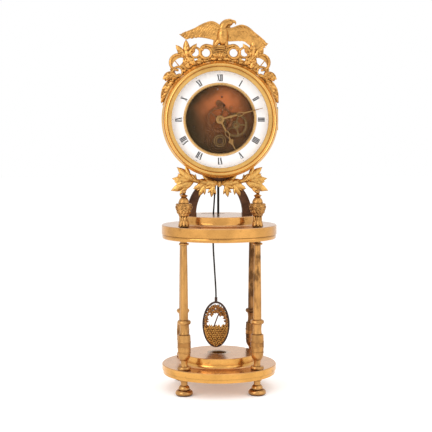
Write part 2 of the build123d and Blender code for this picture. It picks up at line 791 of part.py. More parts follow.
# Upper plate: a moulded disc with a bead under it, drilled for the studs and slotted for the rod
with BuildPart() as upper_plate:
    revolve(
        profile(
            upright(0, 0, UPPER_BOTTOM),
            stack(
                [
                    (PLATE_R - BAND_STEP, PLATE_R - BAND_STEP, UPPER_BEAD, BAND_STEP / 2),
                    (PLATE_R, PLATE_R, UPPER_T - UPPER_BEAD - PLATE_EDGE, 0),
                    (PLATE_R, PLATE_R - PLATE_EDGE, PLATE_EDGE, 0),
                ]
            ),
        ),
        axis=Axis.Z,
    )
    with Locations((0, 0, UPPER_TOP)):
        with GridLocations(2 * COLUMN_X, 2 * COLUMN_Y, 2, 2):
            Hole(STUD_R + FIT, depth=UPPER_T)
    with BuildSketch(Plane(origin=(ROD_BEND_X, PENDULUM_Y, UPPER_TOP))):
        SlotCenterToCenter(2 * SLOT_HALF, SLOT_W)
    extrude(amount=-UPPER_T, mode=Mode.SUBTRACT)
save("upper_plate", upper_plate)

# Upper pedestal: a hollow turned drum under the arch, slotted for the rod
with BuildPart() as upper_pedestal:
    revolve(
        profile(
            upright(0, 0, UPPER_TOP),
            stack(
                [
                    (UPPER_PEDESTAL_R + PEDESTAL_COVE, UPPER_PEDESTAL_R, PEDESTAL_COVE_H, cove_swell),
                    (UPPER_PEDESTAL_R, UPPER_PEDESTAL_R, upper_band_h, 0),
                    (UPPER_PEDESTAL_R, UPPER_PEDESTAL_R - PEDESTAL_EDGE, PEDESTAL_EDGE, 0),
                ]
            ),
        ),
        axis=Axis.Z,
    )
    with BuildSketch(Plane.XY.offset(UPPER_TOP)):
        Circle(UPPER_PEDESTAL_R - PEDESTAL_WALL)
    extrude(amount=UPPER_PEDESTAL_H - PEDESTAL_WALL, mode=Mode.SUBTRACT)
    with BuildSketch(Plane(origin=(ROD_BEND_X, PENDULUM_Y, UPPER_PEDESTAL_TOP))):
        SlotCenterToCenter(2 * SLOT_HALF, SLOT_W)
    extrude(amount=-PEDESTAL_WALL, mode=Mode.SUBTRACT)
    with Locations((0, 0, UPPER_PEDESTAL_TOP)):
        with GridLocations(2 * ARCH_LEG_X, 0, 2, 1):
            Hole(ARCH_SCREW_R + FIT, depth=PEDESTAL_WALL)
    with Locations((0, STAY_Y, UPPER_PEDESTAL_TOP)):
        Hole(STAY_R, depth=PEDESTAL_WALL)
save("upper_pedestal", upper_pedestal)

# Urns over the front columns, each with a lidded top that carries its finial
for side, x in (("left", -COLUMN_X), ("right", COLUMN_X)):
    urn_axis = Axis((x, -COLUMN_Y, 0), (0, 0, 1))
    urn_h = URN_FOOT_H + URN_STEM_H + URN_BASE_H + URN_BOWL_H + URN_RIM_H
    with BuildPart() as urn:
        revolve(
            profile(
                upright(x, -COLUMN_Y, UPPER_TOP),
                stack(
                    [
                        (URN_FOOT_R, URN_STEM_R, URN_FOOT_H, -URN_FOOT_R / 10),
                        (URN_STEM_R, URN_STEM_R, URN_STEM_H, -URN_STEM_R / 12),
                        (URN_KNOP_R, URN_BASE_R, URN_BASE_H, URN_BASE_R / 12),
                        (URN_BASE_R, URN_BODY_R, URN_BOWL_H, URN_BODY_R / 14),
                        (URN_BODY_R, URN_BODY_R, URN_RIM_H, 0),
                    ]
                ),
            ),
            axis=urn_axis,
        )
        with BuildSketch(Plane(origin=(x, -COLUMN_Y, UPPER_TOP))):
            Circle(STUD_R + FIT)
        extrude(amount=STUD_ABOVE + FIT, mode=Mode.SUBTRACT)
        with BuildSketch(Plane(origin=(x, -COLUMN_Y, UPPER_TOP + urn_h))):
            Circle(FINIAL_STUD_R + FIT)
        extrude(amount=-(FINIAL_STUD_H + FIT), mode=Mode.SUBTRACT)
    save(f"urn_{side}", urn)

    ball_in = (FINIAL_BALL_FOOT_R + FINIAL_BALL_TOP_R) / 2
    with BuildPart() as finial:
        revolve(
            profile(
                upright(x, -COLUMN_Y, UPPER_TOP + urn_h),
                stack(
                    [
                        (URN_DOME_R, FINIAL_NECK_R, URN_DOME_H, URN_DOME_R / 6),
                        (FINIAL_NECK_R, FINIAL_LIP_R, FINIAL_LIP_H, 0),
                        (FINIAL_LIP_R, FINIAL_BALL_FOOT_R, FINIAL_LIP_H, 0),
                        (FINIAL_BALL_FOOT_R, FINIAL_BALL_TOP_R, FINIAL_BALL_H, FINIAL_BALL_R - ball_in),
                    ]
                ),
            ),
            axis=urn_axis,
        )
        with BuildSketch(Plane(origin=(x, -COLUMN_Y, UPPER_TOP + urn_h))):
            Circle(FINIAL_STUD_R)
        extrude(amount=-FINIAL_STUD_H)
    save(f"urn_finial_{side}", finial)

# Arch: a deep elliptical hoop that spreads towards its foot plates
arch_front = Plane(origin=(0, -ARCH_DEPTH / 2, UPPER_PEDESTAL_TOP), x_dir=(1, 0, 0), z_dir=(0, -1, 0))
with BuildPart() as arch:
    with BuildSketch(arch_front):
        Ellipse(ARCH_OUT_HALF, ARCH_RISE + ARCH_T)
        Ellipse(ARCH_HALF, ARCH_RISE, mode=Mode.SUBTRACT)
        with Locations((0, -ARCH_RISE - ARCH_T)):
            Rectangle(4 * ARCH_OUT_HALF, 2 * (ARCH_RISE + ARCH_T), mode=Mode.SUBTRACT)
    extrude(amount=-ARCH_DEPTH)
    with BuildSketch(Plane.XY.offset(UPPER_PEDESTAL_TOP)):
        with GridLocations(2 * ARCH_LEG_X, 0, 2, 1):
            Rectangle(ARCH_FOOT_W, ARCH_DEPTH)
    extrude(amount=ARCH_FOOT_T)
    with BuildSketch(Plane.XY.offset(UPPER_PEDESTAL_TOP)):
        with GridLocations(2 * ARCH_LEG_X, 0, 2, 1):
            Circle(ARCH_SCREW_R)
    extrude(amount=ARCH_SCREW_IN, mode=Mode.SUBTRACT)
save("arch", arch)

# Screws that hold the arch from inside the pedestal
with BuildPart() as arch_screws:
    with BuildSketch(Plane.XY.offset(UPPER_PEDESTAL_TOP + ARCH_SCREW_IN)):
        with GridLocations(2 * ARCH_LEG_X, 0, 2, 1):
            Circle(ARCH_SCREW_R)
    extrude(amount=-(ARCH_SCREW_IN + PEDESTAL_WALL))
    with BuildSketch(Plane.XY.offset(UPPER_PEDESTAL_TOP - PEDESTAL_WALL)):
        with GridLocations(2 * ARCH_LEG_X, 0, 2, 1):
            Circle(ARCH_SCREW_HEAD_R)
    extrude(amount=-ARCH_SCREW_HEAD_H)
save("arch_screws", arch_screws)

# Saddle: the block between the arch and the drum, hollowed to both
with BuildPart() as saddle:
    with BuildSketch(arch_front):
        with Locations((0, ARCH_RISE + ARCH_T)):
            Rectangle(2 * SADDLE_HALF, 2 * SADDLE_RISE)
        Ellipse(ARCH_OUT_HALF, ARCH_RISE + ARCH_T, mode=Mode.SUBTRACT)
    extrude(amount=-ARCH_DEPTH)
    extrude(disc(facing(-ARCH_DEPTH), CASE_R), amount=-2 * ARCH_DEPTH, mode=Mode.SUBTRACT)
save("saddle", saddle)

# Stay rod: a dark bar from the pedestal into the case, behind the pendulum
with BuildPart() as stay_rod:
    with BuildSketch(Plane(origin=(0, STAY_Y, UPPER_PEDESTAL_TOP - PEDESTAL_WALL))):
        Circle(STAY_R)
    extrude(amount=DIAL_Z - CASE_R + STAY_IN_CASE - UPPER_PEDESTAL_TOP + PEDESTAL_WALL)
save("stay_rod", stay_rod)

# Drum case: a tube with a front flange, slotted below for the rod, with two hinge lugs
with BuildPart() as drum_case:
    revolve(
        profile(
            side_on(),
            [
                (FLANGE_IN_R, CASE_FRONT_Y),
                (FLANGE_R, CASE_FRONT_Y),
                (FLANGE_R, FLANGE_BACK_Y),
                (CASE_R, FLANGE_BACK_Y),
                (CASE_R, CASE_BACK_Y),
                (CASE_IN_R, CASE_BACK_Y),
                (CASE_IN_R, FLANGE_BACK_Y),
                (FLANGE_IN_R, FLANGE_BACK_Y),
            ],
        ),
        axis=DIAL_AXIS,
    )
    with BuildSketch(Plane(origin=(0, 0, DIAL_Z - KNUCKLE_H))):
        with Locations((BEZEL_HINGE_X, BEZEL_HINGE_Y)):
            Circle(KNUCKLE_R)
        with Locations(((BEZEL_HINGE_X + FLANGE_IN_R) / 2, BEZEL_HINGE_Y)):
            Rectangle(BEZEL_HINGE_X - FLANGE_IN_R, LUG_T)
        with Locations((DOOR_HINGE_X, DOOR_HINGE_Y)):
            Circle(KNUCKLE_R)
        with Locations(((DOOR_HINGE_X + CASE_IN_R) / 2, CASE_BACK_Y - LUG_T / 2)):
            Rectangle(DOOR_HINGE_X - CASE_IN_R, LUG_T)
    extrude(amount=2 * KNUCKLE_H)
    extrude(
        disc(facing(FLANGE_BACK_Y), CASE_IN_R),
        amount=FLANGE_BACK_Y - CASE_BACK_Y,
        mode=Mode.SUBTRACT,
    )
    with BuildSketch(Plane(origin=(0, 0, DIAL_Z - KNUCKLE_H))):
        with Locations((BEZEL_HINGE_X, BEZEL_HINGE_Y), (DOOR_HINGE_X, DOOR_HINGE_Y)):
            Circle(PIN_R)
    extrude(amount=2 * KNUCKLE_H, mode=Mode.SUBTRACT)
    with BuildSketch(Plane(origin=(ANCHOR_X, PENDULUM_Y, DIAL_Z))):
        SlotCenterToCenter(SLOT_HALF, SLOT_W)
    extrude(amount=-2 * CASE_R, mode=Mode.SUBTRACT)
    with BuildSketch(Plane(origin=(0, STAY_Y, DIAL_Z))):
        Circle(STAY_R)
    extrude(amount=-2 * CASE_R, mode=Mode.SUBTRACT)
    with BuildSketch(facing(FLANGE_BACK_Y)):
        with PolarLocations(SCREW_FROM_CENTRE, 4):
            Circle(SCREW_R)
    extrude(amount=SCREW_IN_FLANGE, mode=Mode.SUBTRACT)
save("drum_case", drum_case)

# Rear door: a dished disc on two knuckles, with a turned knob
with BuildPart() as rear_door:
    revolve(
        profile(
            side_on(DOOR_Y),
            [
                (0.0, DOOR_DISH),
                (DOOR_R - DOOR_RIM, DOOR_DISH),
                (DOOR_R - DOOR_RIM + DOOR_DISH, 0.0),
                (DOOR_R, 0.0),
                (DOOR_R, DOOR_T),
                (DOOR_R - DOOR_RIM + DOOR_DISH, DOOR_T),
                (DOOR_R - DOOR_RIM, DOOR_T + DOOR_DISH),
                (0.0, DOOR_T + DOOR_DISH),
            ],
        ),
        axis=DIAL_AXIS,
    )
    for low in (KNUCKLE_H + KNUCKLE_GAP, -2 * KNUCKLE_H - KNUCKLE_GAP):
        with BuildSketch(Plane(origin=(0, 0, DIAL_Z + low))):
            with Locations((DOOR_HINGE_X, DOOR_HINGE_Y)):
                Circle(KNUCKLE_R)
            with Locations(((DOOR_HINGE_X + DOOR_R - DOOR_RIM / 2) / 2, DOOR_HINGE_Y)):
                Rectangle(DOOR_HINGE_X - DOOR_R + DOOR_RIM / 2, DOOR_T)
            with Locations((DOOR_HINGE_X, DOOR_HINGE_Y)):
                Circle(PIN_R + RUN, mode=Mode.SUBTRACT)
        extrude(amount=KNUCKLE_H)
    with BuildSketch(facing(DOOR_Y + DOOR_T, (KNOB_FROM_EDGE / 2 - DOOR_R, 0))):
        Circle(KNOB_SCREW_R)
    extrude(amount=DOOR_T, mode=Mode.SUBTRACT)
save("rear_door", rear_door)

# Knob of the rear door, with a stem through the door
with BuildPart() as door_knob:
    extrude(disc(facing(DOOR_Y, (KNOB_FROM_EDGE / 2 - DOOR_R, 0)), KNOB_SCREW_R), amount=-DOOR_T)
    extrude(
        disc(facing(DOOR_Y + DOOR_T, (KNOB_FROM_EDGE / 2 - DOOR_R, 0)), KNOB_R / 2),
        amount=-KNOB_L / 2,
    )
    extrude(
        disc(facing(DOOR_Y + DOOR_T + KNOB_L / 2, (KNOB_FROM_EDGE / 2 - DOOR_R, 0)), KNOB_R),
        amount=-KNOB_L / 2,
    )
    fillet(door_knob.edges().sort_by(Axis.Y)[-1], radius=KNOB_R / 3)
save("door_knob", door_knob)

# Hinge pins, one solid each
for name, x, y in (
    ("bezel_hinge_pin", BEZEL_HINGE_X, BEZEL_HINGE_Y),
    ("rear_hinge_pin", DOOR_HINGE_X, DOOR_HINGE_Y),
):
    half = 2 * KNUCKLE_H + KNUCKLE_GAP
    with BuildPart() as pin:
        with BuildSketch(Plane(origin=(x, y, DIAL_Z - half - KNUCKLE_GAP))):
            Circle(PIN_R)
        extrude(amount=2 * (half + KNUCKLE_GAP))
        with BuildSketch(Plane(origin=(x, y, DIAL_Z + half + KNUCKLE_GAP))):
            Circle(KNUCKLE_R)
        extrude(amount=KNUCKLE_R)
        fillet(pin.edges().sort_by(Axis.Z)[-1], radius=KNUCKLE_R / 2)
    save(name, pin)

# Bezel: a moulded ring with a bead, a bevelled sight edge and a groove for the glass
with BuildPart() as bezel:
    revolve(
        profile(
            side_on(),
            [
                (BEZEL_IN_R, BEZEL_BACK_Y),
                (BEZEL_R, BEZEL_BACK_Y),
                (BEZEL_R, BEZEL_BACK_Y - BEZEL_T / 4),
                (BEAD_OUT_R, BEZEL_FRONT_Y + BEAD_RISE, BEAD_RISE / 4),
                (BEAD_IN_R, BEZEL_FRONT_Y + BEAD_RISE, BEAD_RISE),
                (BEAD_IN_R, BEZEL_FRONT_Y + BEAD_RISE + BEZEL_GROOVE),
                (BEZEL_FLAT_R, BEZEL_FRONT_Y + BEAD_RISE + BEZEL_GROOVE),
                (BEZEL_SIGHT_R, GLASS_Y - GLASS_T - GLASS_CLEAR),
                (BEZEL_SIGHT_R, DIAL_FRONT_Y - BEZEL_GAP),
                (BEZEL_IN_R, DIAL_FRONT_Y - BEZEL_GAP),
            ],
        ),
        axis=DIAL_AXIS,
    )
    extrude(disc(facing(GLASS_Y), GLASS_R), amount=GLASS_T, mode=Mode.SUBTRACT)
    for low in (KNUCKLE_H + KNUCKLE_GAP, -2 * KNUCKLE_H - KNUCKLE_GAP):
        with BuildSketch(Plane(origin=(0, 0, DIAL_Z + low))):
            with Locations((BEZEL_HINGE_X, BEZEL_HINGE_Y)):
                Circle(KNUCKLE_R)
            with Locations((BEZEL_HINGE_X, BEZEL_HINGE_Y - BEZEL_HINGE_BACK / 2 - RUN)):
                Rectangle(KNUCKLE_R, BEZEL_HINGE_BACK + 2 * RUN)
            with Locations((BEZEL_HINGE_X, BEZEL_HINGE_Y)):
                Circle(PIN_R + RUN, mode=Mode.SUBTRACT)
        extrude(amount=KNUCKLE_H)
save("bezel", bezel)

# Glass: a flat pane with a softened edge, held in the groove of the bezel
with BuildPart() as glass:
    extrude(disc(facing(GLASS_Y), GLASS_R), amount=GLASS_T)
save("glass", glass)

# Dial ring and the gilt ring round its open centre
with BuildPart() as dial_ring:
    extrude(ring(facing(CASE_FRONT_Y), DIAL_R, DIAL_IN_R), amount=DIAL_T)
    fillet(dial_ring.faces().sort_by(Axis.Y)[0].edges(), radius=DIAL_RING_T / 2)
save("dial_ring", dial_ring)

with BuildPart() as dial_inner_ring:
    extrude(ring(facing(FLANGE_BACK_Y), DIAL_IN_R - FIT, DIAL_CENTRE_R), amount=FLANGE_BACK_Y - DIAL_FRONT_Y)
    extrude(ring(facing(DIAL_FRONT_Y), DIAL_IN_R + DIAL_RING_LIP, DIAL_CENTRE_R), amount=DIAL_RING_T)
    fillet(dial_inner_ring.faces().sort_by(Axis.Y)[0].edges(), radius=DIAL_RING_T / 3)
save("dial_inner_ring", dial_inner_ring)

# Front plate with the studs of the minute wheel and the click
with BuildPart() as front_plate:
    extrude(disc(facing(FRONT_PLATE_BACK_Y), FRONT_PLATE_R), amount=PLATE_T)
    with BuildSketch(facing(FRONT_PLATE_BACK_Y)):
        Circle(ARBOR_R + RUN)
        with Locations(BARREL_AT):
            Circle(BARREL_ARBOR_R + RUN)
        with Locations(THIRD_AT, ESCAPE_AT, ANCHOR_AT):
            Circle(THIN_ARBOR_R + PIVOT_RUN)
        with PolarLocations(PILLAR_FROM_CENTRE, 4, start_angle=45):
            Circle(PILLAR_TENON_R)
        with PolarLocations(SCREW_FROM_CENTRE, 4):
            Circle(SCREW_R)
    extrude(amount=PLATE_T, mode=Mode.SUBTRACT)
    extrude(
        disc(facing(FLANGE_BACK_Y, MINUTE_AT), THIN_ARBOR_R),
        amount=FLANGE_BACK_Y - HOUR_HAND_Y - HAND_STEP,
    )
    extrude(disc(facing(FLANGE_BACK_Y, CLICK_AT), CLICK_SCREW_R), amount=WHEEL_T + END_SHAKE)
save("front_plate", front_plate)

# Back plate
with BuildPart() as back_plate:
    extrude(disc(facing(BACK_PLATE_BACK_Y), BACK_PLATE_R), amount=PLATE_T)
    with BuildSketch(facing(BACK_PLATE_BACK_Y)):
        Circle(ARBOR_R + RUN)
        with Locations(BARREL_AT):
            Circle(BARREL_ARBOR_R + RUN)
        with Locations(THIRD_AT, ESCAPE_AT):
            Circle(THIN_ARBOR_R + PIVOT_RUN)
        with Locations(ANCHOR_AT):
            Circle(2 * THIN_ARBOR_R)
        with PolarLocations(PILLAR_FROM_CENTRE, 4, start_angle=45):
            Circle(SCREW_R)
    extrude(amount=PLATE_T, mode=Mode.SUBTRACT)
save("back_plate", back_plate)

# Pillars between the plates, and the screws that hold the plates
with BuildPart() as pillars:
    with BuildSketch(facing(FRONT_PLATE_BACK_Y)):
        with PolarLocations(PILLAR_FROM_CENTRE, 4, start_angle=45):
            Circle(PILLAR_TENON_R)
    extrude(amount=PLATE_T)
    with BuildSketch(facing(BACK_PLATE_Y)):
        with PolarLocations(PILLAR_FROM_CENTRE, 4, start_angle=45):
            Circle(PILLAR_R)
    extrude(amount=PLATE_SPACE)
    with BuildSketch(facing(BACK_PLATE_Y)):
        with PolarLocations(PILLAR_FROM_CENTRE, 4, start_angle=45):
            Circle(SCREW_R)
    extrude(amount=PILLAR_R, mode=Mode.SUBTRACT)
save("pillars", pillars)

with BuildPart() as movement_screws:
    with BuildSketch(facing(BACK_PLATE_BACK_Y)):
        with PolarLocations(PILLAR_FROM_CENTRE, 4, start_angle=45):
            Circle(SCREW_R)
    extrude(amount=PLATE_T + PILLAR_R)
    with BuildSketch(facing(BACK_PLATE_BACK_Y + SCREW_HEAD_H)):
        with PolarLocations(PILLAR_FROM_CENTRE, 4, start_angle=45):
            Circle(SCREW_HEAD_R)
    extrude(amount=SCREW_HEAD_H)
    with BuildSketch(facing(FRONT_PLATE_BACK_Y)):
        with PolarLocations(SCREW_FROM_CENTRE, 4):
            Circle(SCREW_R)
    extrude(amount=PLATE_T + SCREW_IN_FLANGE)
    with BuildSketch(facing(FRONT_PLATE_BACK_Y + SCREW_HEAD_H)):
        with PolarLocations(SCREW_FROM_CENTRE, 4):
            Circle(SCREW_HEAD_R)
    extrude(amount=SCREW_HEAD_H)
save("movement_screws", movement_screws)

# Cock on the front plate, over the pivot of the escape wheel
with BuildPart() as escape_cock:
    with BuildSketch(facing(FLANGE_BACK_Y, ((ESCAPE_AT[0] + COCK_SCREW_AT[0]) / 2, COCK_SCREW_AT[1]))):
        SlotOverall(COCK_LENGTH, COCK_WIDTH, rotation=-COCK_LEAN)
    extrude(amount=ESCAPE_COCK_T)
save("escape_cock", escape_cock)

# Mainspring barrel with the great wheel
great_phase = mesh_phase(-pi / 2, CENTRE_PINION, 0.0, GREAT_TEETH)
with BuildPart() as barrel:
    extrude(disc(facing(GREAT_Y + BARREL_L, BARREL_AT), BARREL_R), amount=BARREL_L)
    extrude(
        teeth(facing(GREAT_Y, BARREL_AT), GREAT_TEETH, GREAT_MODULE, WHEEL_TOOTH, great_phase),
        amount=WHEEL_T,
    )
    extrude(
        disc(facing(GREAT_Y + BARREL_L, BARREL_AT), BARREL_ARBOR_R + RUN),
        amount=BARREL_L + WHEEL_T,
        mode=Mode.SUBTRACT,
    )
save("barrel", barrel)

# Barrel arbor with the winding square, and the ratchet wheel and click before the plate
with BuildPart() as barrel_arbor:
    extrude(
        disc(facing(BACK_PLATE_BACK_Y - ARBOR_SHORT, BARREL_AT), BARREL_ARBOR_R),
        amount=BACK_PLATE_BACK_Y - ARBOR_SHORT - SQUARE_Y,
    )
    with BuildSketch(facing(SQUARE_Y, BARREL_AT)):
        Rectangle(WINDING_SQUARE, WINDING_SQUARE)
    extrude(amount=WINDING_SQUARE_L)
save("barrel_arbor", barrel_arbor)

with BuildPart() as ratchet_wheel:
    extrude(
        saw(facing(RATCHET_Y, BARREL_AT), RATCHET_TEETH, RATCHET_R, RATCHET_DEPTH, RATCHET_LEAN),
        amount=WHEEL_T,
    )
    extrude(disc(facing(RATCHET_Y, BARREL_AT), BARREL_ARBOR_R), amount=WHEEL_T, mode=Mode.SUBTRACT)
save("ratchet_wheel", ratchet_wheel)

with BuildPart() as click:
    with BuildSketch(facing(RATCHET_Y)):
        with Locations(CLICK_AT):
            Circle(CLICK_R)
        with Locations(CLICK_TIP):
            Circle(CLICK_TIP_R)
        make_hull()
        with Locations(CLICK_AT):
            Circle(CLICK_SCREW_R + RUN, mode=Mode.SUBTRACT)
    extrude(amount=WHEEL_T)
save("click", click)

with BuildPart() as click_spring:
    bend_r = CLICK_FROM + CLICK_R + END_SHAKE + CLICK_SPRING_W / 2
    foot_turn = radians(CLICK_ANGLE - CLICK_SPRING_SWEEP)
    spring_plane = facing(FLANGE_BACK_Y, BARREL_AT)
    extrude(
        arc_band(spring_plane, bend_r, CLICK_SPRING_W, CLICK_ANGLE - CLICK_SPRING_SWEEP, CLICK_SPRING_SWEEP),
        amount=WHEEL_T,
    )
    with BuildSketch(spring_plane):
        with Locations((bend_r * cos(foot_turn), bend_r * sin(foot_turn))):
            Circle(CLICK_SPRING_FOOT_R)
    extrude(amount=WHEEL_T)
save("click_spring", click_spring)

# Centre arbor with its pinion and wheel
with BuildPart() as centre_wheel:
    extrude(
        disc(facing(BACK_PLATE_BACK_Y - ARBOR_SHORT), ARBOR_R),
        amount=BACK_PLATE_BACK_Y - 2 * ARBOR_SHORT - CANNON_FRONT_Y,
    )
    extrude(
        teeth(facing(CENTRE_PINION_Y), CENTRE_PINION, GREAT_MODULE, PINION_TOOTH),
        amount=PINION_T,
    )
    extrude(teeth(facing(CENTRE_Y), CENTRE_TEETH, CENTRE_MODULE, WHEEL_TOOTH), amount=WHEEL_T)
    rim_r = CENTRE_TEETH * CENTRE_MODULE / 2 - DEDENDUM * CENTRE_MODULE - RIM
    extrude(crossings(facing(CENTRE_Y), rim_r, HUB_R), amount=WHEEL_T, mode=Mode.SUBTRACT)
save("centre_wheel", centre_wheel)

# Third arbor with its pinion and wheel
third_phase = mesh_phase(THIRD_BEARING, CENTRE_TEETH, 0.0, THIRD_PINION)
with BuildPart() as third_wheel:
    extrude(
        disc(facing(BACK_PLATE_BACK_Y - ARBOR_SHORT, THIRD_AT), THIN_ARBOR_R),
        amount=BACK_PLATE_BACK_Y - 2 * ARBOR_SHORT - FLANGE_BACK_Y,
    )
    extrude(
        teeth(facing(THIRD_PINION_Y, THIRD_AT), THIRD_PINION, CENTRE_MODULE, PINION_TOOTH, third_phase),
        amount=PINION_T,
    )
    extrude(teeth(facing(THIRD_Y, THIRD_AT), THIRD_TEETH, THIRD_MODULE, WHEEL_TOOTH), amount=WHEEL_T)
    rim_r = THIRD_TEETH * THIRD_MODULE / 2 - DEDENDUM * THIRD_MODULE - RIM
    extrude(crossings(facing(THIRD_Y, THIRD_AT), rim_r, HUB_R), amount=WHEEL_T, mode=Mode.SUBTRACT)
save("third_wheel", third_wheel)

# Escape arbor with its pinion and wheel
escape_bearing = atan2(ESCAPE_AT[1] - THIRD_AT[1], ESCAPE_AT[0] - THIRD_AT[0])
escape_phase = mesh_phase(escape_bearing, THIRD_TEETH, 0.0, ESCAPE_PINION)
with BuildPart() as escape_wheel:
    extrude(
        disc(facing(BACK_PLATE_BACK_Y - ARBOR_SHORT, ESCAPE_AT), THIN_ARBOR_R),
        amount=BACK_PLATE_BACK_Y - 2 * ARBOR_SHORT - FLANGE_BACK_Y,
    )
    extrude(
        teeth(
            facing(ESCAPE_PINION_Y, ESCAPE_AT), ESCAPE_PINION, THIRD_MODULE, PINION_TOOTH, escape_phase
        ),
        amount=PINION_T,
    )
    extrude(
        saw(facing(ESCAPE_Y, ESCAPE_AT), ESCAPE_TEETH, ESCAPE_R, ESCAPE_DEPTH, ESCAPE_LEAN),
        amount=WHEEL_T,
    )
    rim_r = ESCAPE_R - ESCAPE_DEPTH - ESCAPE_RIM
    extrude(crossings(facing(ESCAPE_Y, ESCAPE_AT), rim_r, ESCAPE_HUB_R), amount=WHEEL_T, mode=Mode.SUBTRACT)
save("escape_wheel", escape_wheel)

# Anchor: pallets on an arc over the escape wheel, and the crutch that leads the rod
with BuildPart() as anchor:
    anchor_y = ESCAPE_Y + (ANCHOR_T - WHEEL_T) / 2
    arc_r = ESCAPE_R + PALLET_CLEAR + PALLET_L
    pallet_r = ESCAPE_R + PALLET_CLEAR + PALLET_L / 2
    extrude(
        arc_band(facing(anchor_y, ESCAPE_AT), arc_r, ANCHOR_W, 90 - PALLET_SPREAD, 2 * PALLET_SPREAD),
        amount=ANCHOR_T,
    )
    with BuildSketch(facing(anchor_y, ESCAPE_AT)):
        for turn in (90 - PALLET_SPREAD, 90 + PALLET_SPREAD):
            with Locations((pallet_r * cos(radians(turn)), pallet_r * sin(radians(turn)))):
                Rectangle(PALLET_L, PALLET_W, rotation=turn)
        with Locations((0, ESCAPE_BELOW)):
            Circle(ANCHOR_HUB_R)
    extrude(amount=ANCHOR_T)
    extrude(
        disc(facing(COCK_Y + COCK_T - ARBOR_SHORT, ANCHOR_AT), THIN_ARBOR_R),
        amount=COCK_Y + COCK_T - 2 * ARBOR_SHORT - FLANGE_BACK_Y,
    )
    fork_x = ROD_R + FORK_GAP + FORK_R
    with BuildSketch(facing(CRUTCH_Y + CRUTCH_T, ANCHOR_AT)):
        Circle(ANCHOR_HUB_R)
        with Locations((0, -CRUTCH_L / 2)):
            Rectangle(CRUTCH_W, CRUTCH_L)
        with Locations((0, -CRUTCH_L)):
            SlotCenterToCenter(2 * fork_x, CRUTCH_W)
    extrude(amount=CRUTCH_T)
    with BuildSketch(facing(PENDULUM_Y + ROD_R + FORK_PAST, ANCHOR_AT)):
        with Locations((-fork_x, -CRUTCH_L), (fork_x, -CRUTCH_L)):
            Circle(FORK_R)
    extrude(amount=PENDULUM_Y + ROD_R + FORK_PAST - CRUTCH_Y - CRUTCH_T)
save("anchor", anchor)

# Suspension cock: a bridge on two feet, with cheeks that take the suspension spring
with BuildPart() as suspension_cock:
    with BuildSketch(facing(COCK_Y + COCK_T, ANCHOR_AT)):
        SlotCenterToCenter(2 * COCK_ARM, 2 * COCK_FOOT_R)
        Circle(THIN_ARBOR_R + PIVOT_RUN, mode=Mode.SUBTRACT)
    extrude(amount=COCK_T)
    with BuildSketch(facing(COCK_Y, ANCHOR_AT)):
        with GridLocations(2 * COCK_ARM, 0, 2, 1):
            Circle(COCK_FOOT_R)
    extrude(amount=COCK_Y - BACK_PLATE_BACK_Y)
    slot_w = SPRING_T + 2 * CHEEK_GAP
    slot_h = SPRING_UP + END_SHAKE - CHEEK_FROM
    with BuildSketch(facing(PENDULUM_Y + SPRING_W / 2 + ARBOR_SHORT, ANCHOR_AT)):
        with Locations((0, CHEEK_FROM + CHEEK_H / 2)):
            Rectangle(slot_w + 2 * CHEEK_W, CHEEK_H)
        with Locations((0, CHEEK_FROM + slot_h / 2)):
            Rectangle(slot_w, slot_h, mode=Mode.SUBTRACT)
    extrude(amount=PENDULUM_Y + SPRING_W / 2 + ARBOR_SHORT - COCK_Y - COCK_T)
save("suspension_cock", suspension_cock)

# Suspension spring: a thin strip on the swing axis
with BuildPart() as suspension_spring:
    with BuildSketch(Plane(origin=(ANCHOR_X, PENDULUM_Y, PIVOT_Z - SPRING_DOWN))):
        Rectangle(SPRING_T, SPRING_W)
    extrude(amount=SPRING_DOWN + SPRING_UP)
save("suspension_spring", suspension_spring)

# Pendulum rod: a wire with the slow bends of the real one, under a small block
with BuildPart() as pendulum_rod:
    block_z = PIVOT_Z - SPRING_DOWN - ROD_BLOCK_H
    with BuildSketch(Plane(origin=(ANCHOR_X, PENDULUM_Y, block_z))):
        Rectangle(ROD_BLOCK_W, SPRING_W)
    extrude(amount=ROD_BLOCK_H)
    with BuildLine() as rod_path:
        FilletPolyline(
            (BOB_X, PENDULUM_Y, ROD_END_Z),
            (BOB_X, PENDULUM_Y, ROD_END_Z + ROD_STRAIGHT),
            (ROD_LOW_X, PENDULUM_Y, ROD_LOW_Z),
            (ROD_BEND_X, PENDULUM_Y, ROD_BEND_Z),
            (ANCHOR_X, PENDULUM_Y, ROD_TOP_Z),
            (ANCHOR_X, PENDULUM_Y, block_z),
            radius=ROD_BEND_R,
        )
    with BuildSketch(Plane(origin=(BOB_X, PENDULUM_Y, ROD_END_Z))):
        Circle(ROD_R)
    sweep(path=rod_path.line)
save("pendulum_rod", pendulum_rod)

# Bob: an oval frame with a socket for the rod
bob_at = (BOB_X, BOB_Z - DIAL_Z)
with BuildPart() as bob_frame:
    with BuildSketch(facing(PENDULUM_Y + BOB_T / 2, bob_at)):
        Ellipse(BOB_HALF_W, BOB_HALF_H)
    extrude(amount=BOB_T)
    with BuildSketch(Plane(origin=(BOB_X, PENDULUM_Y, SOCKET_Z))):
        Circle(BOB_SOCKET_R)
    extrude(amount=BOB_SOCKET_H)
    with BuildSketch(Plane(origin=(BOB_X, PENDULUM_Y, ROD_END_Z))):
        Circle(ROD_R)
    extrude(amount=ROD_IN_SOCKET, mode=Mode.SUBTRACT)
    with BuildSketch(facing(PENDULUM_Y + BOB_T, bob_at)):
        Ellipse(BOB_HALF_W - BOB_RING, BOB_HALF_H - BOB_RING)
    extrude(amount=2 * BOB_T, mode=Mode.SUBTRACT)
save("bob_frame", bob_frame)

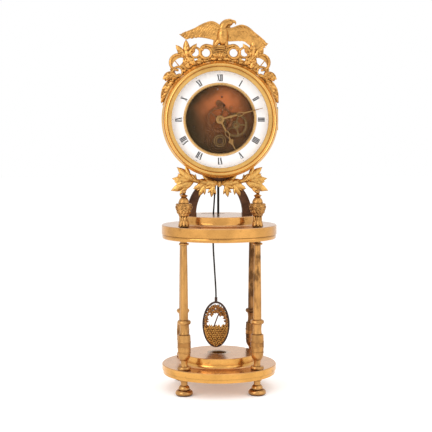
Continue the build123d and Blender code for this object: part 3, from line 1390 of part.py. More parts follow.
# Basket inside the bob: a woven basket below, and a wreath of flowers with one stem over it
with BuildPart() as bob_basket:
    with BuildSketch(facing(PENDULUM_Y + BASKET_T / 2, bob_at)):
        with Locations((0, -BOB_HALF_H / 2)):
            Rectangle(2 * BOB_HALF_W, BOB_HALF_H)
        for turn in range(0, 181, FLOWER_STEP):
            rise = sin(radians(turn))
            with Locations((WREATH_HALF_W * cos(radians(turn)), WREATH_HALF_H * rise)):
                Circle(FLOWER_SIDE_R + (FLOWER_TOP_R - FLOWER_SIDE_R) * rise)
        for place in range(-BASKET_LEAVES, BASKET_LEAVES + 1):
            across = place * BASKET_LEAF_W
            add(leaf(Plane.XY, (across, -BASKET_LEAF_L), (across, BASKET_LEAF_L), 2 * BASKET_LEAF_W))
        with Locations((0, STEM_UP)):
            Rectangle(FLOWER_STEM_W, FLOWER_STEM_L, rotation=-FLOWER_STEM_LEAN)
        Ellipse(BOB_HALF_W - BOB_RING, BOB_HALF_H - BOB_RING, mode=Mode.INTERSECT)
    extrude(amount=BASKET_T)
save("bob_basket", bob_basket)

# Motion work: cannon pinion, minute wheel with its pinion, hour wheel with its pipe
with BuildPart() as cannon_pinion:
    extrude(disc(facing(RATCHET_Y), CANNON_R), amount=RATCHET_Y - CANNON_FRONT_Y)
    extrude(
        teeth(facing(MINUTE_WHEEL_Y), CANNON_TEETH, MINUTE_MODULE, PINION_TOOTH),
        amount=WHEEL_T,
    )
    extrude(
        disc(facing(RATCHET_Y), ARBOR_R + RUN),
        amount=RATCHET_Y - CANNON_FRONT_Y,
        mode=Mode.SUBTRACT,
    )
save("cannon_pinion", cannon_pinion)

minute_phase = mesh_phase(MINUTE_BEARING, CANNON_TEETH, 0.0, MINUTE_TEETH)
with BuildPart() as minute_wheel:
    extrude(
        teeth(facing(MINUTE_WHEEL_Y, MINUTE_AT), MINUTE_TEETH, MINUTE_MODULE, WHEEL_TOOTH, minute_phase),
        amount=WHEEL_T,
    )
    rim_r = MINUTE_TEETH * MINUTE_MODULE / 2 - DEDENDUM * MINUTE_MODULE - RIM
    extrude(
        crossings(facing(MINUTE_WHEEL_Y, MINUTE_AT), rim_r, HUB_R + SPOKE_W),
        amount=WHEEL_T,
        mode=Mode.SUBTRACT,
    )
    extrude(
        teeth(facing(MINUTE_WHEEL_Y, MINUTE_AT), MINUTE_PINION, HOUR_MODULE, PINION_TOOTH),
        amount=2 * WHEEL_T + END_SHAKE,
    )
    extrude(
        disc(facing(MINUTE_WHEEL_Y, MINUTE_AT), THIN_ARBOR_R + PIVOT_RUN),
        amount=2 * WHEEL_T + END_SHAKE,
        mode=Mode.SUBTRACT,
    )
save("minute_wheel", minute_wheel)

hour_phase = mesh_phase(MINUTE_BEARING + pi, MINUTE_PINION, 0.0, HOUR_TEETH)
with BuildPart() as hour_wheel:
    extrude(
        teeth(facing(HOUR_WHEEL_Y), HOUR_TEETH, HOUR_MODULE, WHEEL_TOOTH, hour_phase),
        amount=WHEEL_T,
    )
    rim_r = HOUR_TEETH * HOUR_MODULE / 2 - DEDENDUM * HOUR_MODULE - RIM
    extrude(crossings(facing(HOUR_WHEEL_Y), rim_r, HUB_R + SPOKE_W), amount=WHEEL_T, mode=Mode.SUBTRACT)
    extrude(disc(facing(HOUR_WHEEL_Y), HOUR_PIPE_R), amount=HOUR_WHEEL_Y - HOUR_HAND_Y + HAND_T)
    extrude(
        disc(facing(HOUR_WHEEL_Y), CANNON_R + RUN),
        amount=HOUR_WHEEL_Y - HOUR_HAND_Y + HAND_T,
        mode=Mode.SUBTRACT,
    )
save("hour_wheel", hour_wheel)

# Hands: a ring boss, a pierced loop and a needle, with a trefoil on the hour hand
with BuildPart() as hour_hand:
    with BuildSketch(hand_plane(HOUR_HAND_Y, HOUR_HAND_ANGLE)):
        with BuildLine():
            Polyline(
                (-HAND_W / 2, 0),
                (HAND_W / 2, 0),
                (HAND_W / 2, HOUR_TREFOIL_AT),
                (HAND_TIP_W / 2, HOUR_HAND_L),
                (-HAND_TIP_W / 2, HOUR_HAND_L),
                (-HAND_W / 2, HOUR_TREFOIL_AT),
                close=True,
            )
        make_face()
        Circle(HAND_BOSS_R)
        with Locations((0, HOUR_LOOP_AT)):
            Ellipse(LOOP_HALF_W, LOOP_HALF_L)
            Ellipse(LOOP_HALF_W - HAND_RIB, LOOP_HALF_L - HAND_RIB, mode=Mode.SUBTRACT)
        with Locations((0, HOUR_TREFOIL_AT)):
            with PolarLocations(TREFOIL_R, 3, start_angle=90):
                Circle(TREFOIL_R)
        Circle(HOUR_PIPE_R, mode=Mode.SUBTRACT)
    extrude(amount=HAND_T)
save("hour_hand", hour_hand)

with BuildPart() as minute_hand:
    with BuildSketch(hand_plane(MINUTE_HAND_Y, MINUTE_HAND_ANGLE)):
        with BuildLine():
            Polyline(
                (-HAND_W / 2, 0),
                (HAND_W / 2, 0),
                (HAND_W / 2, MINUTE_LOOP_AT),
                (HAND_TIP_W / 2, MINUTE_HAND_L),
                (-HAND_TIP_W / 2, MINUTE_HAND_L),
                (-HAND_W / 2, MINUTE_LOOP_AT),
                close=True,
            )
        make_face()
        Circle(HAND_BOSS_R)
        with Locations((0, MINUTE_KNOP_AT)):
            Circle(TREFOIL_R)
        with Locations((0, MINUTE_LOOP_AT)):
            Ellipse(LOOP_HALF_W, LOOP_HALF_L)
            Ellipse(LOOP_HALF_W - HAND_RIB, LOOP_HALF_L - HAND_RIB, mode=Mode.SUBTRACT)
        Circle(CANNON_R, mode=Mode.SUBTRACT)
    extrude(amount=HAND_T)
save("minute_hand", minute_hand)

# Nut on the cannon, before the minute hand
with BuildPart() as hand_nut:
    extrude(ring(facing(MINUTE_HAND_Y - HAND_T), HAND_NUT_R, CANNON_R), amount=HAND_NUT_T)
save("hand_nut", hand_nut)

def along(base, turn, length, side):
    """The point at a length and lean from a base, mirrored to one side."""
    return (base[0] + side * length * cos(radians(turn)), base[1] + length * sin(radians(turn)))


# Laurel spray: two crossed branches of lobed leaves on bosses before the arch
spray_plane = Plane(origin=(0, SPRAY_BACK_Y, SPRAY_BOSS_Z + SPRAY_OVER), x_dir=(1, 0, 0), z_dir=(0, -1, 0))
with BuildPart() as laurel_spray:
    with BuildSketch(spray_plane):
        for side in (-1, 1):
            add(leaf(Plane.XY, (-side * TIE_R, 0), (side * SPRAY_HALF, SPRAY_LIFT), STEM_W))
            for at, turn, length in SPRAY_LEAVES:
                base = (side * at, SPRAY_LIFT * at / SPRAY_HALF)
                add(leaf(Plane.XY, base, along(base, turn, length, side), length * LEAF_SHARE))
                fork = along(base, turn, length * LOBE_FROM, side)
                for lean in (-LOBE_LEAN, LOBE_LEAN):
                    lobe = length * LOBE_SHARE
                    add(leaf(Plane.XY, fork, along(fork, turn + lean, lobe, side), lobe * LEAF_SHARE))
        Circle(TIE_R)
    extrude(amount=SPRAY_T)
    with BuildSketch(Plane(origin=(0, -ARCH_DEPTH / 2, SPRAY_BOSS_Z), x_dir=(1, 0, 0), z_dir=(0, -1, 0))):
        with GridLocations(2 * SPRAY_BOSS_X, 0, 2, 1):
            Circle(SPRAY_BOSS_R)
    extrude(amount=-ARCH_DEPTH / 2 - SPRAY_BACK_Y + SPRAY_T)
save("laurel_spray", laurel_spray)


def around(side, place):
    """A place on the crest, from its distance out from the drum and its turn from the top."""
    away = CASE_R + place[0]
    return (side * away * sin(radians(place[1])), away * cos(radians(place[1])))


def over(points):
    """Places counted from the top of the drum, as places counted from the dial centre."""
    return [(x, CASE_R + up) for x, up in points]


def crest_face(at):
    """The outline of the pierced scroll crest, seated on the drum."""
    base_r = CASE_R + CREST_BASE
    with BuildSketch(at) as face:
        Circle(base_r)
        with Locations((0, base_r)):
            Rectangle(base_r, 2 * CREST_BASE, mode=Mode.INTERSECT)
        Circle(CASE_R + CREST_BAND)
        with Locations((0, CREST_FROM - base_r)):
            Rectangle(4 * base_r, 2 * base_r, mode=Mode.SUBTRACT)
        with Locations((0, CASE_R + CREST_UP)):
            Ellipse(CREST_HALF_W, CREST_HALF_H)
        for side in (-1, 1):
            with Locations(around(side, SCROLL_AT)):
                Circle(SCROLL_R)
            with Locations(around(side, CURL_AT)):
                Circle(CURL_R)
            with BuildLine():
                Polyline(*[around(side, corner) for corner in CREST_WEB], close=True)
            make_face()
            with Locations(around(side, SHOULDER_AT)):
                Circle(SHOULDER_R)
            with Locations(around(side, LOW_SCROLL_AT)):
                Circle(LOW_SCROLL_R)
            for base, tip, width in CREST_LEAVES:
                add(leaf(Plane.XY, around(side, base), around(side, tip), width))
            with Locations(around(side, SCROLL_HOLE_AT)):
                Circle(SCROLL_HOLE_R, mode=Mode.SUBTRACT)
            with Locations(around(side, CURL_AT)):
                Circle(CURL_HOLE_R, mode=Mode.SUBTRACT)
            with Locations(around(side, LOW_SCROLL_AT)):
                Circle(LOW_HOLE_R, mode=Mode.SUBTRACT)
            with Locations(around(side, SHOULDER_AT)):
                Ellipse(
                    SHOULDER_R - SCROLL_W,
                    SHOULDER_R / 2 - SCROLL_W / 2,
                    rotation=-side * SHOULDER_LEAN,
                    mode=Mode.SUBTRACT,
                )
        Circle(CASE_R, mode=Mode.SUBTRACT)
    return face.sketch


# Crest: pierced scrolls and leaves on the back of the flange
with BuildPart() as crest:
    extrude(crest_face(facing(FLANGE_BACK_Y + CREST_T)), amount=CREST_T)
save("crest", crest)

# Eagle: spread wings, a round body and head, standing with open legs on the crest
with BuildPart() as eagle:
    with BuildSketch(facing(FLANGE_BACK_Y + (CREST_T + EAGLE_T) / 2)):
        for top, under in ((LEFT_WING_TOP, LEFT_WING_UNDER), (RIGHT_WING_TOP, RIGHT_WING_UNDER)):
            with BuildLine():
                edge = Spline(*over(top))
                back = Spline(*over(under))
                Line(edge @ 1, back @ 0)
                Line(back @ 1, edge @ 0)
            make_face()
        with BuildLine():
            Polyline(*over(EAGLE_NECK), close=True)
        make_face()
        with BuildLine():
            Polyline(*over(EAGLE_LEGS), close=True)
        make_face()
        with Locations(over([LEG_GAP_AT])[0]):
            Ellipse(LEG_GAP_HALF_W, LEG_GAP_HALF_H, rotation=LEG_GAP_LEAN, mode=Mode.SUBTRACT)
        add(crest_face(Plane.XY), mode=Mode.SUBTRACT)
    extrude(amount=EAGLE_T)
    middle_y = FLANGE_BACK_Y + CREST_T / 2
    head_at, body_at = over([EAGLE_HEAD_AT, EAGLE_BODY_AT])
    with Locations((head_at[0], middle_y, DIAL_Z + head_at[1])):
        Sphere(EAGLE_HEAD_R)
    with BuildSketch(upright(body_at[0], middle_y, DIAL_Z + body_at[1])):
        Ellipse(EAGLE_BODY_R, EAGLE_BODY_H)
        with Locations((-EAGLE_BODY_R, 0)):
            Rectangle(2 * EAGLE_BODY_R, 2 * EAGLE_BODY_H, mode=Mode.SUBTRACT)
    revolve(axis=Axis((body_at[0], middle_y, 0), (0, 0, 1)))
save("eagle", eagle)
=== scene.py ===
import json
import math
import random
from math import cos, pi, radians, sin

import bmesh
import bpy
from mathutils import Matrix, Vector


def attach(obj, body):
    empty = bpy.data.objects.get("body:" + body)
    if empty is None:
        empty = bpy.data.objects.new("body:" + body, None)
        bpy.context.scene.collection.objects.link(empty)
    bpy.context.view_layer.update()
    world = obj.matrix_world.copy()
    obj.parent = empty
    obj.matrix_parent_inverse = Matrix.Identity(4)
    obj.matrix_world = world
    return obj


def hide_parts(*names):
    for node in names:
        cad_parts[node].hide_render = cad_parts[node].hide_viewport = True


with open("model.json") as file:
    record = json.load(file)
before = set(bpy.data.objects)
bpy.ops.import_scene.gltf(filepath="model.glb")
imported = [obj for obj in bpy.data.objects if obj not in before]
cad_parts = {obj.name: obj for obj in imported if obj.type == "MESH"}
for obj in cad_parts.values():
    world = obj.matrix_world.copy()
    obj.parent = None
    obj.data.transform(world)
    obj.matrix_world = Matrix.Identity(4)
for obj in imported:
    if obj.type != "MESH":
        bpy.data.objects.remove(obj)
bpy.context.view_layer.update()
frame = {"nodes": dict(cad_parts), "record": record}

nodes = frame["nodes"]
MM = 0.001
DIAL_Z = 320.0


# Shader helpers

coats = {}


def material(name):
    """The tree and the Principled shader of a new material, which is kept in coats."""
    made = coats[name] = bpy.data.materials.new(name)
    made.use_nodes = True
    tree = made.node_tree
    tree.nodes.clear()
    shader = node(tree, "BsdfPrincipled")
    node(tree, "OutputMaterial", Surface=shader.outputs[0])
    return tree, shader


def node(tree, kind, settings=None, **inputs):
    """A shader node with its settings, and its inputs set or linked by name."""
    made = tree.nodes.new("ShaderNode" + kind)
    for key, value in (settings or {}).items():
        setattr(made, key, value)
    for key, value in inputs.items():
        plug(tree, made, key, value)
    return made


def plug(tree, target, key, value):
    """Set an input, or link it when the value is an output of another node."""
    if isinstance(value, bpy.types.NodeSocket):
        tree.links.new(value, target.inputs[key])
    else:
        target.inputs[key].default_value = value


def wired(tree, kind, settings, *values):
    """The output of a shader node whose inputs are set or linked in order."""
    made = node(tree, kind, settings)
    for place, value in enumerate(values):
        plug(tree, made, place, value)
    return made.outputs[0]


def ramp(tree, factor, stops):
    """A colour ramp fed by a factor."""
    made = node(tree, "ValToRGB", Fac=factor)
    points = made.color_ramp.elements
    while len(points) < len(stops):
        points.new(0.5)
    for point, (place, colour) in zip(points, stops):
        point.position = place
        point.color = (*colour, 1.0)
    return made.outputs[0]


def span(tree, value, low, high, to_low=0.0, to_high=1.0):
    """Map a value from one range to another, clamped."""
    return wired(tree, "MapRange", None, value, low, high, to_low, to_high)


def maths(tree, operation, first, second):
    """A math node on values or outputs."""
    return wired(tree, "Math", {"operation": operation}, first, second)


def mixed(tree, factor, first, second):
    """Mix two colours."""
    made = node(tree, "Mix", {"data_type": "RGBA"})
    for place, value in ((0, factor), (6, first), (7, second)):
        if isinstance(value, tuple) and len(value) == 3:
            value = (*value, 1.0)
        plug(tree, made, place, value)
    return made.outputs[2]


def place_of(tree, scale=(1.0, 1.0, 1.0), shift=(0.0, 0.0, 0.0)):
    """Object coordinates, in metres, stretched along the axes."""
    coords = node(tree, "TexCoord").outputs["Object"]
    return node(tree, "Mapping", Vector=coords, Scale=scale, Location=shift).outputs[0]


def dial_distance(tree, x, up):
    """The distance, as seen from the front, from a place counted from the dial centre."""
    place = place_of(tree, (1.0, 0.0, 1.0), (-x * MM, 0.0, -(DIAL_Z + up) * MM))
    return node(tree, "VectorMath", {"operation": "LENGTH"}, Vector=place).outputs["Value"]


def clouds(tree, place, scale, detail, rough=0.6):
    """Noise as a value."""
    return node(tree, "TexNoise", Vector=place, Scale=scale, Detail=detail, Roughness=rough).outputs[0]


def bumped(tree, shader, height, strength, distance):
    """Give a shader a bump from a height."""
    made = node(tree, "Bump", Strength=strength, Distance=distance, Height=height)
    plug(tree, shader, "Normal", made.outputs[0])


def toned(colour, gain):
    """A colour made brighter or darker by a factor."""
    return tuple(c * gain for c in colour)


def coat_of(name):
    """A coat's tree, its shader and the output that colours the shader so far."""
    tree = coats[name].node_tree
    shader = next(n for n in tree.nodes if n.type == "BSDF_PRINCIPLED")
    return tree, shader, shader.inputs["Base Color"].links[0].from_socket


def mixed_shaders(tree, factor, first, second):
    """Mix two shaders by an output."""
    return wired(tree, "MixShader", None, factor, first.outputs[0], second.outputs[0])


def seen_ray(tree):
    """One where the eye, a reflection or clear glass looks, and nothing for light that bounces."""
    path = node(tree, "LightPath").outputs
    seen = maths(tree, "MAXIMUM", path["Is Camera Ray"], path["Is Glossy Ray"])
    return maths(tree, "MAXIMUM", seen, path["Is Transmission Ray"])


# Factors on the written golds: the plain one, and the one where the gold drifts brightest
GAIN, BRIGHT_GAIN = 1.06, 1.18


def gilt(name, light, dark, stain_and_shade, rough=(0.26, 0.42), wear=(0.56, 0.84), streak=1.0, shade_reach=0.005, grain=0.06,
         chased=0.0, clean_below=None):
    """Worn gilding: golds that drift, brown stains, painted brown shade in the hollows, fine scratches, chased ruffles.
    """
    tree, shader = material(name)
    place = place_of(tree)
    streaked = place_of(tree, (1.0, 1.0, streak))
    drift = clouds(tree, streaked, 45.0, 4.0)
    fine = clouds(tree, streaked, 420.0, 6.0, 0.7)
    gold = ramp(tree, drift, [(0.30, toned(dark, GAIN)), (0.52, toned(light, GAIN)), (0.75, toned(light, BRIGHT_GAIN))])
    spots = clouds(tree, place_of(tree, (1.0, 1.0, streak), (0.3, 0.1, 0.2)), 90.0, 5.0, 0.62)
    spotted = span(tree, spots, *wear, 0.0, 0.75)
    if clean_below:
        up = node(tree, "SeparateXYZ", Vector=place).outputs[2]
        spotted = maths(tree, "MULTIPLY", spotted, span(tree, up, clean_below, clean_below + 0.012, 0.4, 1.0))
    gold = mixed(tree, spotted, gold, stain_and_shade)
    height = maths(tree, "MULTIPLY", fine, grain)
    if chased:
        ruffle = node(tree, "TexNoise", Vector=place, Scale=260.0, Detail=2.5, Roughness=0.5, Distortion=1.4).outputs[0]
        gold = mixed(tree, span(tree, ruffle, 0.34, 0.52, 0.75 * chased, 0.0), gold, stain_and_shade)
        height = maths(tree, "ADD", height, maths(tree, "MULTIPLY", ruffle, 2.2 * chased))
    # Painted shade: where an occlusion test finds other surfaces close by, the colour turns to a darker brown.
    hollow = node(tree, "AmbientOcclusion", {"samples": 8}, Distance=shade_reach)
    deep = span(tree, hollow.outputs["AO"], 0.30, 0.92, 0.9, 0.0)
    plug(tree, shader, "Base Color", mixed(tree, deep, gold, toned(stain_and_shade, 0.8)))
    plug(tree, shader, "Metallic", 0.92)
    rough_now = span(tree, fine, 0.3, 0.7, *rough)
    plug(tree, shader, "Roughness", maths(tree, "ADD", rough_now, maths(tree, "MULTIPLY", spotted, 0.25)))
    bumped(tree, shader, height, 1.0, 0.0003)


# Materials for the frame's slots

# Dark browns for stains, and for the painted shade in the hollows of the golds that use them.
BROWN = (0.12, 0.046, 0.015)
UMBER = (0.07, 0.026, 0.009)
SOOT_AND_SHADE = (0.05, 0.02, 0.008)
SATIN = (0.24, 0.38)
gilt("gilt", (0.57, 0.285, 0.08), (0.42, 0.20, 0.055), BROWN)
gilt("gilt_turned", (0.69, 0.405, 0.122), (0.58, 0.325, 0.092), BROWN, (0.18, 0.30), (0.62, 0.84),
     shade_reach=0.0015, grain=0.03)
gilt("gilt_cast", (0.62, 0.32, 0.086), (0.44, 0.21, 0.052), (0.10, 0.036, 0.012), SATIN, shade_reach=0.0022, chased=0.45)
gilt("gilt_crest", (0.70, 0.37, 0.10), (0.53, 0.265, 0.068), (0.16, 0.06, 0.02), SATIN, shade_reach=0.0020, chased=0.75)
gilt("gilt_laurel", (0.69, 0.39, 0.11), (0.51, 0.265, 0.068), (0.13, 0.048, 0.016), SATIN, shade_reach=0.0020, chased=0.4)
gilt("gilt_column", (0.49, 0.255, 0.08), (0.36, 0.175, 0.05), BROWN, SATIN, (0.52, 0.76), 0.25, shade_reach=0.002)
gilt("gilt_stained", (0.54, 0.275, 0.085), (0.36, 0.17, 0.05), (0.07, 0.027, 0.01), (0.24, 0.4),
     (0.48, 0.60), 0.5, shade_reach=0.002, clean_below=0.078)
gilt("gilt_band", (0.39, 0.185, 0.054), (0.27, 0.125, 0.036), (0.08, 0.03, 0.011), wear=(0.5, 0.74),
     streak=0.25, shade_reach=0.002)
gilt("gilt_dark", (0.40, 0.195, 0.064), (0.20, 0.09, 0.03), (0.045, 0.018, 0.007), wear=(0.42, 0.54), streak=0.5)
gilt("gilt_urn", (0.54, 0.275, 0.08), (0.34, 0.16, 0.045), UMBER, (0.2, 0.36), shade_reach=0.003, chased=0.6)
gilt("gilt_foot", (0.50, 0.26, 0.085), (0.34, 0.165, 0.05), UMBER, (0.18, 0.34))
gilt("gilt_bob", (0.56, 0.29, 0.075), (0.36, 0.165, 0.042), SOOT_AND_SHADE, (0.28, 0.45), shade_reach=0.0015)
gilt("gilt_foliage", (0.42, 0.20, 0.065), (0.22, 0.095, 0.033), SOOT_AND_SHADE, (0.28, 0.45), shade_reach=0.0015)
gilt("gilt_hands", (0.36, 0.20, 0.07), (0.23, 0.12, 0.04), BROWN, (0.24, 0.4), shade_reach=0.0005)


def patina(name, light, dark, metallic, rough, scale=70.0):
    """A darkened or plain metal with drifting tone and fine grain."""
    tree, shader = material(name)
    tone = clouds(tree, place_of(tree), scale, 6.0, 0.65)
    plug(tree, shader, "Base Color", ramp(tree, tone, [(0.35, dark), (0.68, light)]))
    fine = clouds(tree, place_of(tree, shift=(0.2, 0.5, 0.1)), 380.0, 5.0, 0.7)
    plug(tree, shader, "Roughness", span(tree, fine, 0.3, 0.7, *rough))
    plug(tree, shader, "Metallic", metallic)
    bumped(tree, shader, fine, 0.2, 0.0002)


def plate_metal(name, hot, cool, rim):
    """The open movement plate: a painted red glow above its middle, brown about it, painted shade darkening it to its
    rim and left.
    """
    tree, shader = material(name)
    smudge = clouds(tree, place_of(tree), 55.0, 5.0)
    blur = maths(tree, "MULTIPLY", maths(tree, "SUBTRACT", smudge, 0.5), 0.022)
    from_glow = maths(tree, "ADD", dial_distance(tree, 3.0, 20.0), blur)
    from_middle = maths(tree, "ADD", dial_distance(tree, 6.0, 3.0), blur)
    # Painted light: a red glow above the middle, and painted shade that darkens the plate towards its rim and left.
    glow = ramp(tree, span(tree, from_glow, 0.006, 0.034), [(0.0, hot), (1.0, cool)])
    plug(tree, shader, "Base Color", mixed(tree, span(tree, from_middle, 0.022, 0.042), glow, rim))
    plug(tree, shader, "Metallic", 0.85)
    plug(tree, shader, "Roughness", span(tree, smudge, 0.3, 0.7, 0.38, 0.6))
    rings = node(tree, "TexWave", {"wave_type": "RINGS", "rings_direction": "Y"},
                 Vector=place_of(tree, shift=(0, 0, -DIAL_Z * MM)), Scale=260.0, Distortion=0.6, Detail=2.0)
    bumped(tree, shader, rings.outputs[1], 0.12, 0.0002)


def enamel_white(name):
    """Fired enamel: nearly white, faintly clouded, with a soft gloss."""
    tree, shader = material(name)
    tone = clouds(tree, place_of(tree), 40.0, 3.0)
    plug(tree, shader, "Base Color", ramp(tree, tone, [(0.3, (0.93, 0.92, 0.92)), (0.7, (0.97, 0.962, 0.962))]))
    plug(tree, shader, "Roughness", 0.22)
    bumped(tree, shader, clouds(tree, place_of(tree, shift=(0.4, 0, 0)), 160.0, 2.0), 0.05, 0.0002)


def clear_glass(name):
    """A clear pane: see-through, with a faint reflection that grows towards the edge of view."""
    tree, shader = material(name)
    tree.nodes.remove(shader)
    smear = clouds(tree, place_of(tree), 25.0, 3.0)
    gloss = node(tree, "BsdfGlossy", Roughness=span(tree, smear, 0.3, 0.7, 0.02, 0.06))
    sheen = maths(tree, "MULTIPLY", node(tree, "Fresnel", IOR=1.35).outputs[0], 0.15)
    mix = mixed_shaders(tree, sheen, node(tree, "BsdfTransparent"), gloss)
    tree.links.new(mix, tree.nodes["Material Output"].inputs[0])


def gilt_with_painted_top_reflection(name, base, light, dark):
    """Gilding on the sides, and on the faces that look up a paler, rosy colour painted as the reflection on their
    polish.
    """
    gilt(name, light, dark, BROWN, (0.16, 0.28), (0.6, 0.84), grain=0.025)
    tree, shader, side = coat_of(name)
    facing = node(tree, "NewGeometry").outputs["True Normal"]
    lift = node(tree, "SeparateXYZ", Vector=facing).outputs[2]
    tone = clouds(tree, place_of(tree, shift=(0.7, 0.2, 0.0)), 60.0, 5.0)
    top_reflection = ramp(tree, tone, [(0.3, toned(base, 0.82)), (0.7, base)])
    # Painted reflection: the faces that look up take the paler, rosy colour in place of the gilding.
    plug(tree, shader, "Base Color", mixed(tree, span(tree, lift, 0.5, 0.8), side, top_reflection))


def shaded_ring(name, inside, outside):
    """The ring round the open centre: gilt at its outer edge, painted brown shade where it dips to the plate."""
    gilt(name, (0.72, 0.45, 0.18), (0.60, 0.35, 0.125), BROWN, (0.2, 0.34), shade_reach=0.0005)
    tree, shader, bright = coat_of(name)
    # Painted shade: the ring darkens to brown towards the plate.
    dip_shade = span(tree, dial_distance(tree, 0.0, 0.0), inside * MM, outside * MM, 0.85, 0.0)
    plug(tree, shader, "Base Color", mixed(tree, dip_shade, bright, (0.16, 0.075, 0.026)))


patina("dark_bronze", (0.15, 0.066, 0.032), (0.06, 0.026, 0.014), 0.8, (0.3, 0.5))
patina("black_bronze", (0.085, 0.045, 0.032), (0.04, 0.022, 0.017), 0.7, (0.35, 0.5))
patina("black_steel", (0.035, 0.028, 0.026), (0.014, 0.011, 0.010), 0.0, (0.5, 0.7))
patina("grey_steel", (0.34, 0.31, 0.29), (0.16, 0.14, 0.13), 1.0, (0.3, 0.5))
patina("wheel_metal", (0.30, 0.165, 0.055), (0.15, 0.08, 0.03), 1.0, (0.35, 0.5), 160.0)
patina("motion_metal", (0.22, 0.13, 0.048), (0.10, 0.055, 0.024), 0.9, (0.4, 0.55), 160.0)
patina("red_brass", (0.22, 0.09, 0.034), (0.12, 0.05, 0.022), 0.9, (0.4, 0.55), 150.0)
patina("olive_brass", (0.115, 0.068, 0.03), (0.06, 0.036, 0.017), 0.9, (0.4, 0.55), 150.0)
patina("dark_screws", (0.10, 0.05, 0.026), (0.04, 0.022, 0.013), 0.9, (0.35, 0.5), 150.0)
patina("dull_brass", (0.22, 0.125, 0.05), (0.10, 0.055, 0.026), 0.9, (0.4, 0.6), 120.0)
patina("pale_brass", (0.72, 0.54, 0.38), (0.56, 0.39, 0.25), 1.0, (0.25, 0.4), 90.0)
plate_metal("plate_metal", (0.47, 0.14, 0.045), (0.135, 0.052, 0.018), (0.045, 0.027, 0.010))
enamel_white("enamel")
clear_glass("pane")
patina("numeral_ink", (0.04, 0.036, 0.04), (0.02, 0.018, 0.02), 0.0, (0.4, 0.6))
DULL_GLOSS = 0.12
for name in ("black_steel", "numeral_ink"):
    tree, shader, _ = coat_of(name)
    plug(tree, shader, "Specular IOR Level", DULL_GLOSS)
gilt_with_painted_top_reflection("gilt_platform", (0.60, 0.345, 0.185), (0.58, 0.29, 0.078), (0.46, 0.224, 0.058))
gilt_with_painted_top_reflection("gilt_base", (0.65, 0.335, 0.135), (0.65, 0.335, 0.085), (0.52, 0.26, 0.062))
shaded_ring("gilt_ring", 39.3, 41.6)

by_slot = {
    "gilt_brass": "gilt", "pale_brass": "pale_brass", "dark_bronze": "dark_bronze", "enamel": "enamel",
    "glass": "pane", "plate_brass": "dull_brass", "wheel_brass": "wheel_metal", "steel": "grey_steel",
    "dark_steel": "black_steel",
}
own_coats = (
    ("gilt_base", "base_plate base_pedestal"), ("gilt_platform", "upper_plate upper_pedestal"),
    ("gilt_turned", "bezel drum_case"), ("gilt_crest", "crest"), ("gilt_cast", "eagle"),
    ("gilt_laurel", "laurel_spray"), ("gilt_column", "column_front_left column_back_left"),
    ("gilt_stained", "column_front_right"), ("gilt_dark", "column_back_right"),
    ("gilt_urn", "urn_left urn_right urn_finial_left urn_finial_right"),
    ("gilt_foot", "foot_front_left foot_front_right foot_back_left foot_back_right"),
    ("gilt_bob", "bob_basket"), ("black_bronze", "bob_frame"), ("black_steel", "stay_rod"),
    ("plate_metal", "front_plate"), ("gilt_ring", "dial_inner_ring"), ("olive_brass", "ratchet_wheel"),
    ("gilt_hands", "hour_hand minute_hand hand_nut"), ("red_brass", "hour_wheel escape_cock"),
    ("motion_metal", "minute_wheel cannon_pinion"),
    ("dark_screws", "movement_screws click click_spring barrel_arbor"),
)
by_node = {name: coat for coat, names in own_coats for name in names.split()}
slot_of = {row["node"]: row["material_slot"] for row in frame["record"]["subparts"]}
for name, obj in nodes.items():
    chosen = coats[by_node.get(name, by_slot[slot_of[name]])]
    if not obj.data.materials:
        obj.data.materials.append(chosen)
    for place in range(len(obj.data.materials)):
        obj.data.materials[place] = chosen


# Geometry helpers: sizes in millimetres, written to meshes in metres

def finish_piece(name, bm, coat, body="clock_frame", angle=40.0, stands_for=()):
    """Turn a bmesh into a named piece that rides on a body."""
    bmesh.ops.remove_doubles(bm, verts=bm.verts, dist=1e-7)
    bmesh.ops.recalc_face_normals(bm, faces=bm.faces)
    mesh = bpy.data.meshes.new(name)
    bm.to_mesh(mesh)
    bm.free()
    for face in mesh.polygons:
        face.use_smooth = True
    mesh.set_sharp_from_angle(angle=radians(angle))
    mesh.materials.append(coats[coat])
    made = bpy.data.objects.new(name, mesh)
    bpy.context.collection.objects.link(made)
    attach(made, body)
    if stands_for:
        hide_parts(*stands_for)


def circle(count):
    """Even turns about a circle."""
    return [2 * pi * k / count for k in range(count)]


def skin(bm, rings, ends=True):
    """Join rings of places into a skin, closed at its ends if asked. Gives its rings of points."""
    made = [[bm.verts.new(Vector(p) * MM) for p in ring] for ring in rings]
    for low, high in zip(made, made[1:]):
        for k in range(len(low)):
            after = (k + 1) % len(low)
            bm.faces.new((low[k], low[after], high[after], high[k]))
    if ends:
        bm.faces.new(made[0][::-1])
        bm.faces.new(made[-1])
    return made


def sheet_mesh(bm, front, back):
    """Close two equal grids of points, front and back, into one thin solid."""
    rows, columns = len(front), len(front[0])
    top, low = ([[bm.verts.new(Vector(p) * MM) for p in row] for row in grid] for grid in (front, back))
    for i in range(rows - 1):
        for j in range(columns - 1):
            bm.faces.new((top[i][j], top[i][j + 1], top[i + 1][j + 1], top[i + 1][j]))
            bm.faces.new((low[i][j], low[i + 1][j], low[i + 1][j + 1], low[i][j + 1]))
    rim = [(0, j) for j in range(columns)] + [(i, columns - 1) for i in range(1, rows)]
    rim += [(rows - 1, j) for j in range(columns - 2, -1, -1)] + [(i, 0) for i in range(rows - 2, 0, -1)]
    for (a, b), (c, d) in zip(rim, rim[1:] + rim[:1]):
        bm.faces.new((top[a][b], low[a][b], low[c][d], top[c][d]))


def to_front(y):
    """A map from (across, up, height) on a flat front to a place in space."""
    return lambda x, z, h: (x, y - h, z)


def to_drum(cx, cy, radius_at, bearing):
    """A map that wraps (across, up, height) round an upright axis. Bearing 0 looks to the front."""
    def place(x, z, h):
        away = radius_at(z)
        turn = radians(bearing) + x / away
        return (cx + (away + h) * sin(turn), cy - (away + h) * cos(turn), z)
    return place


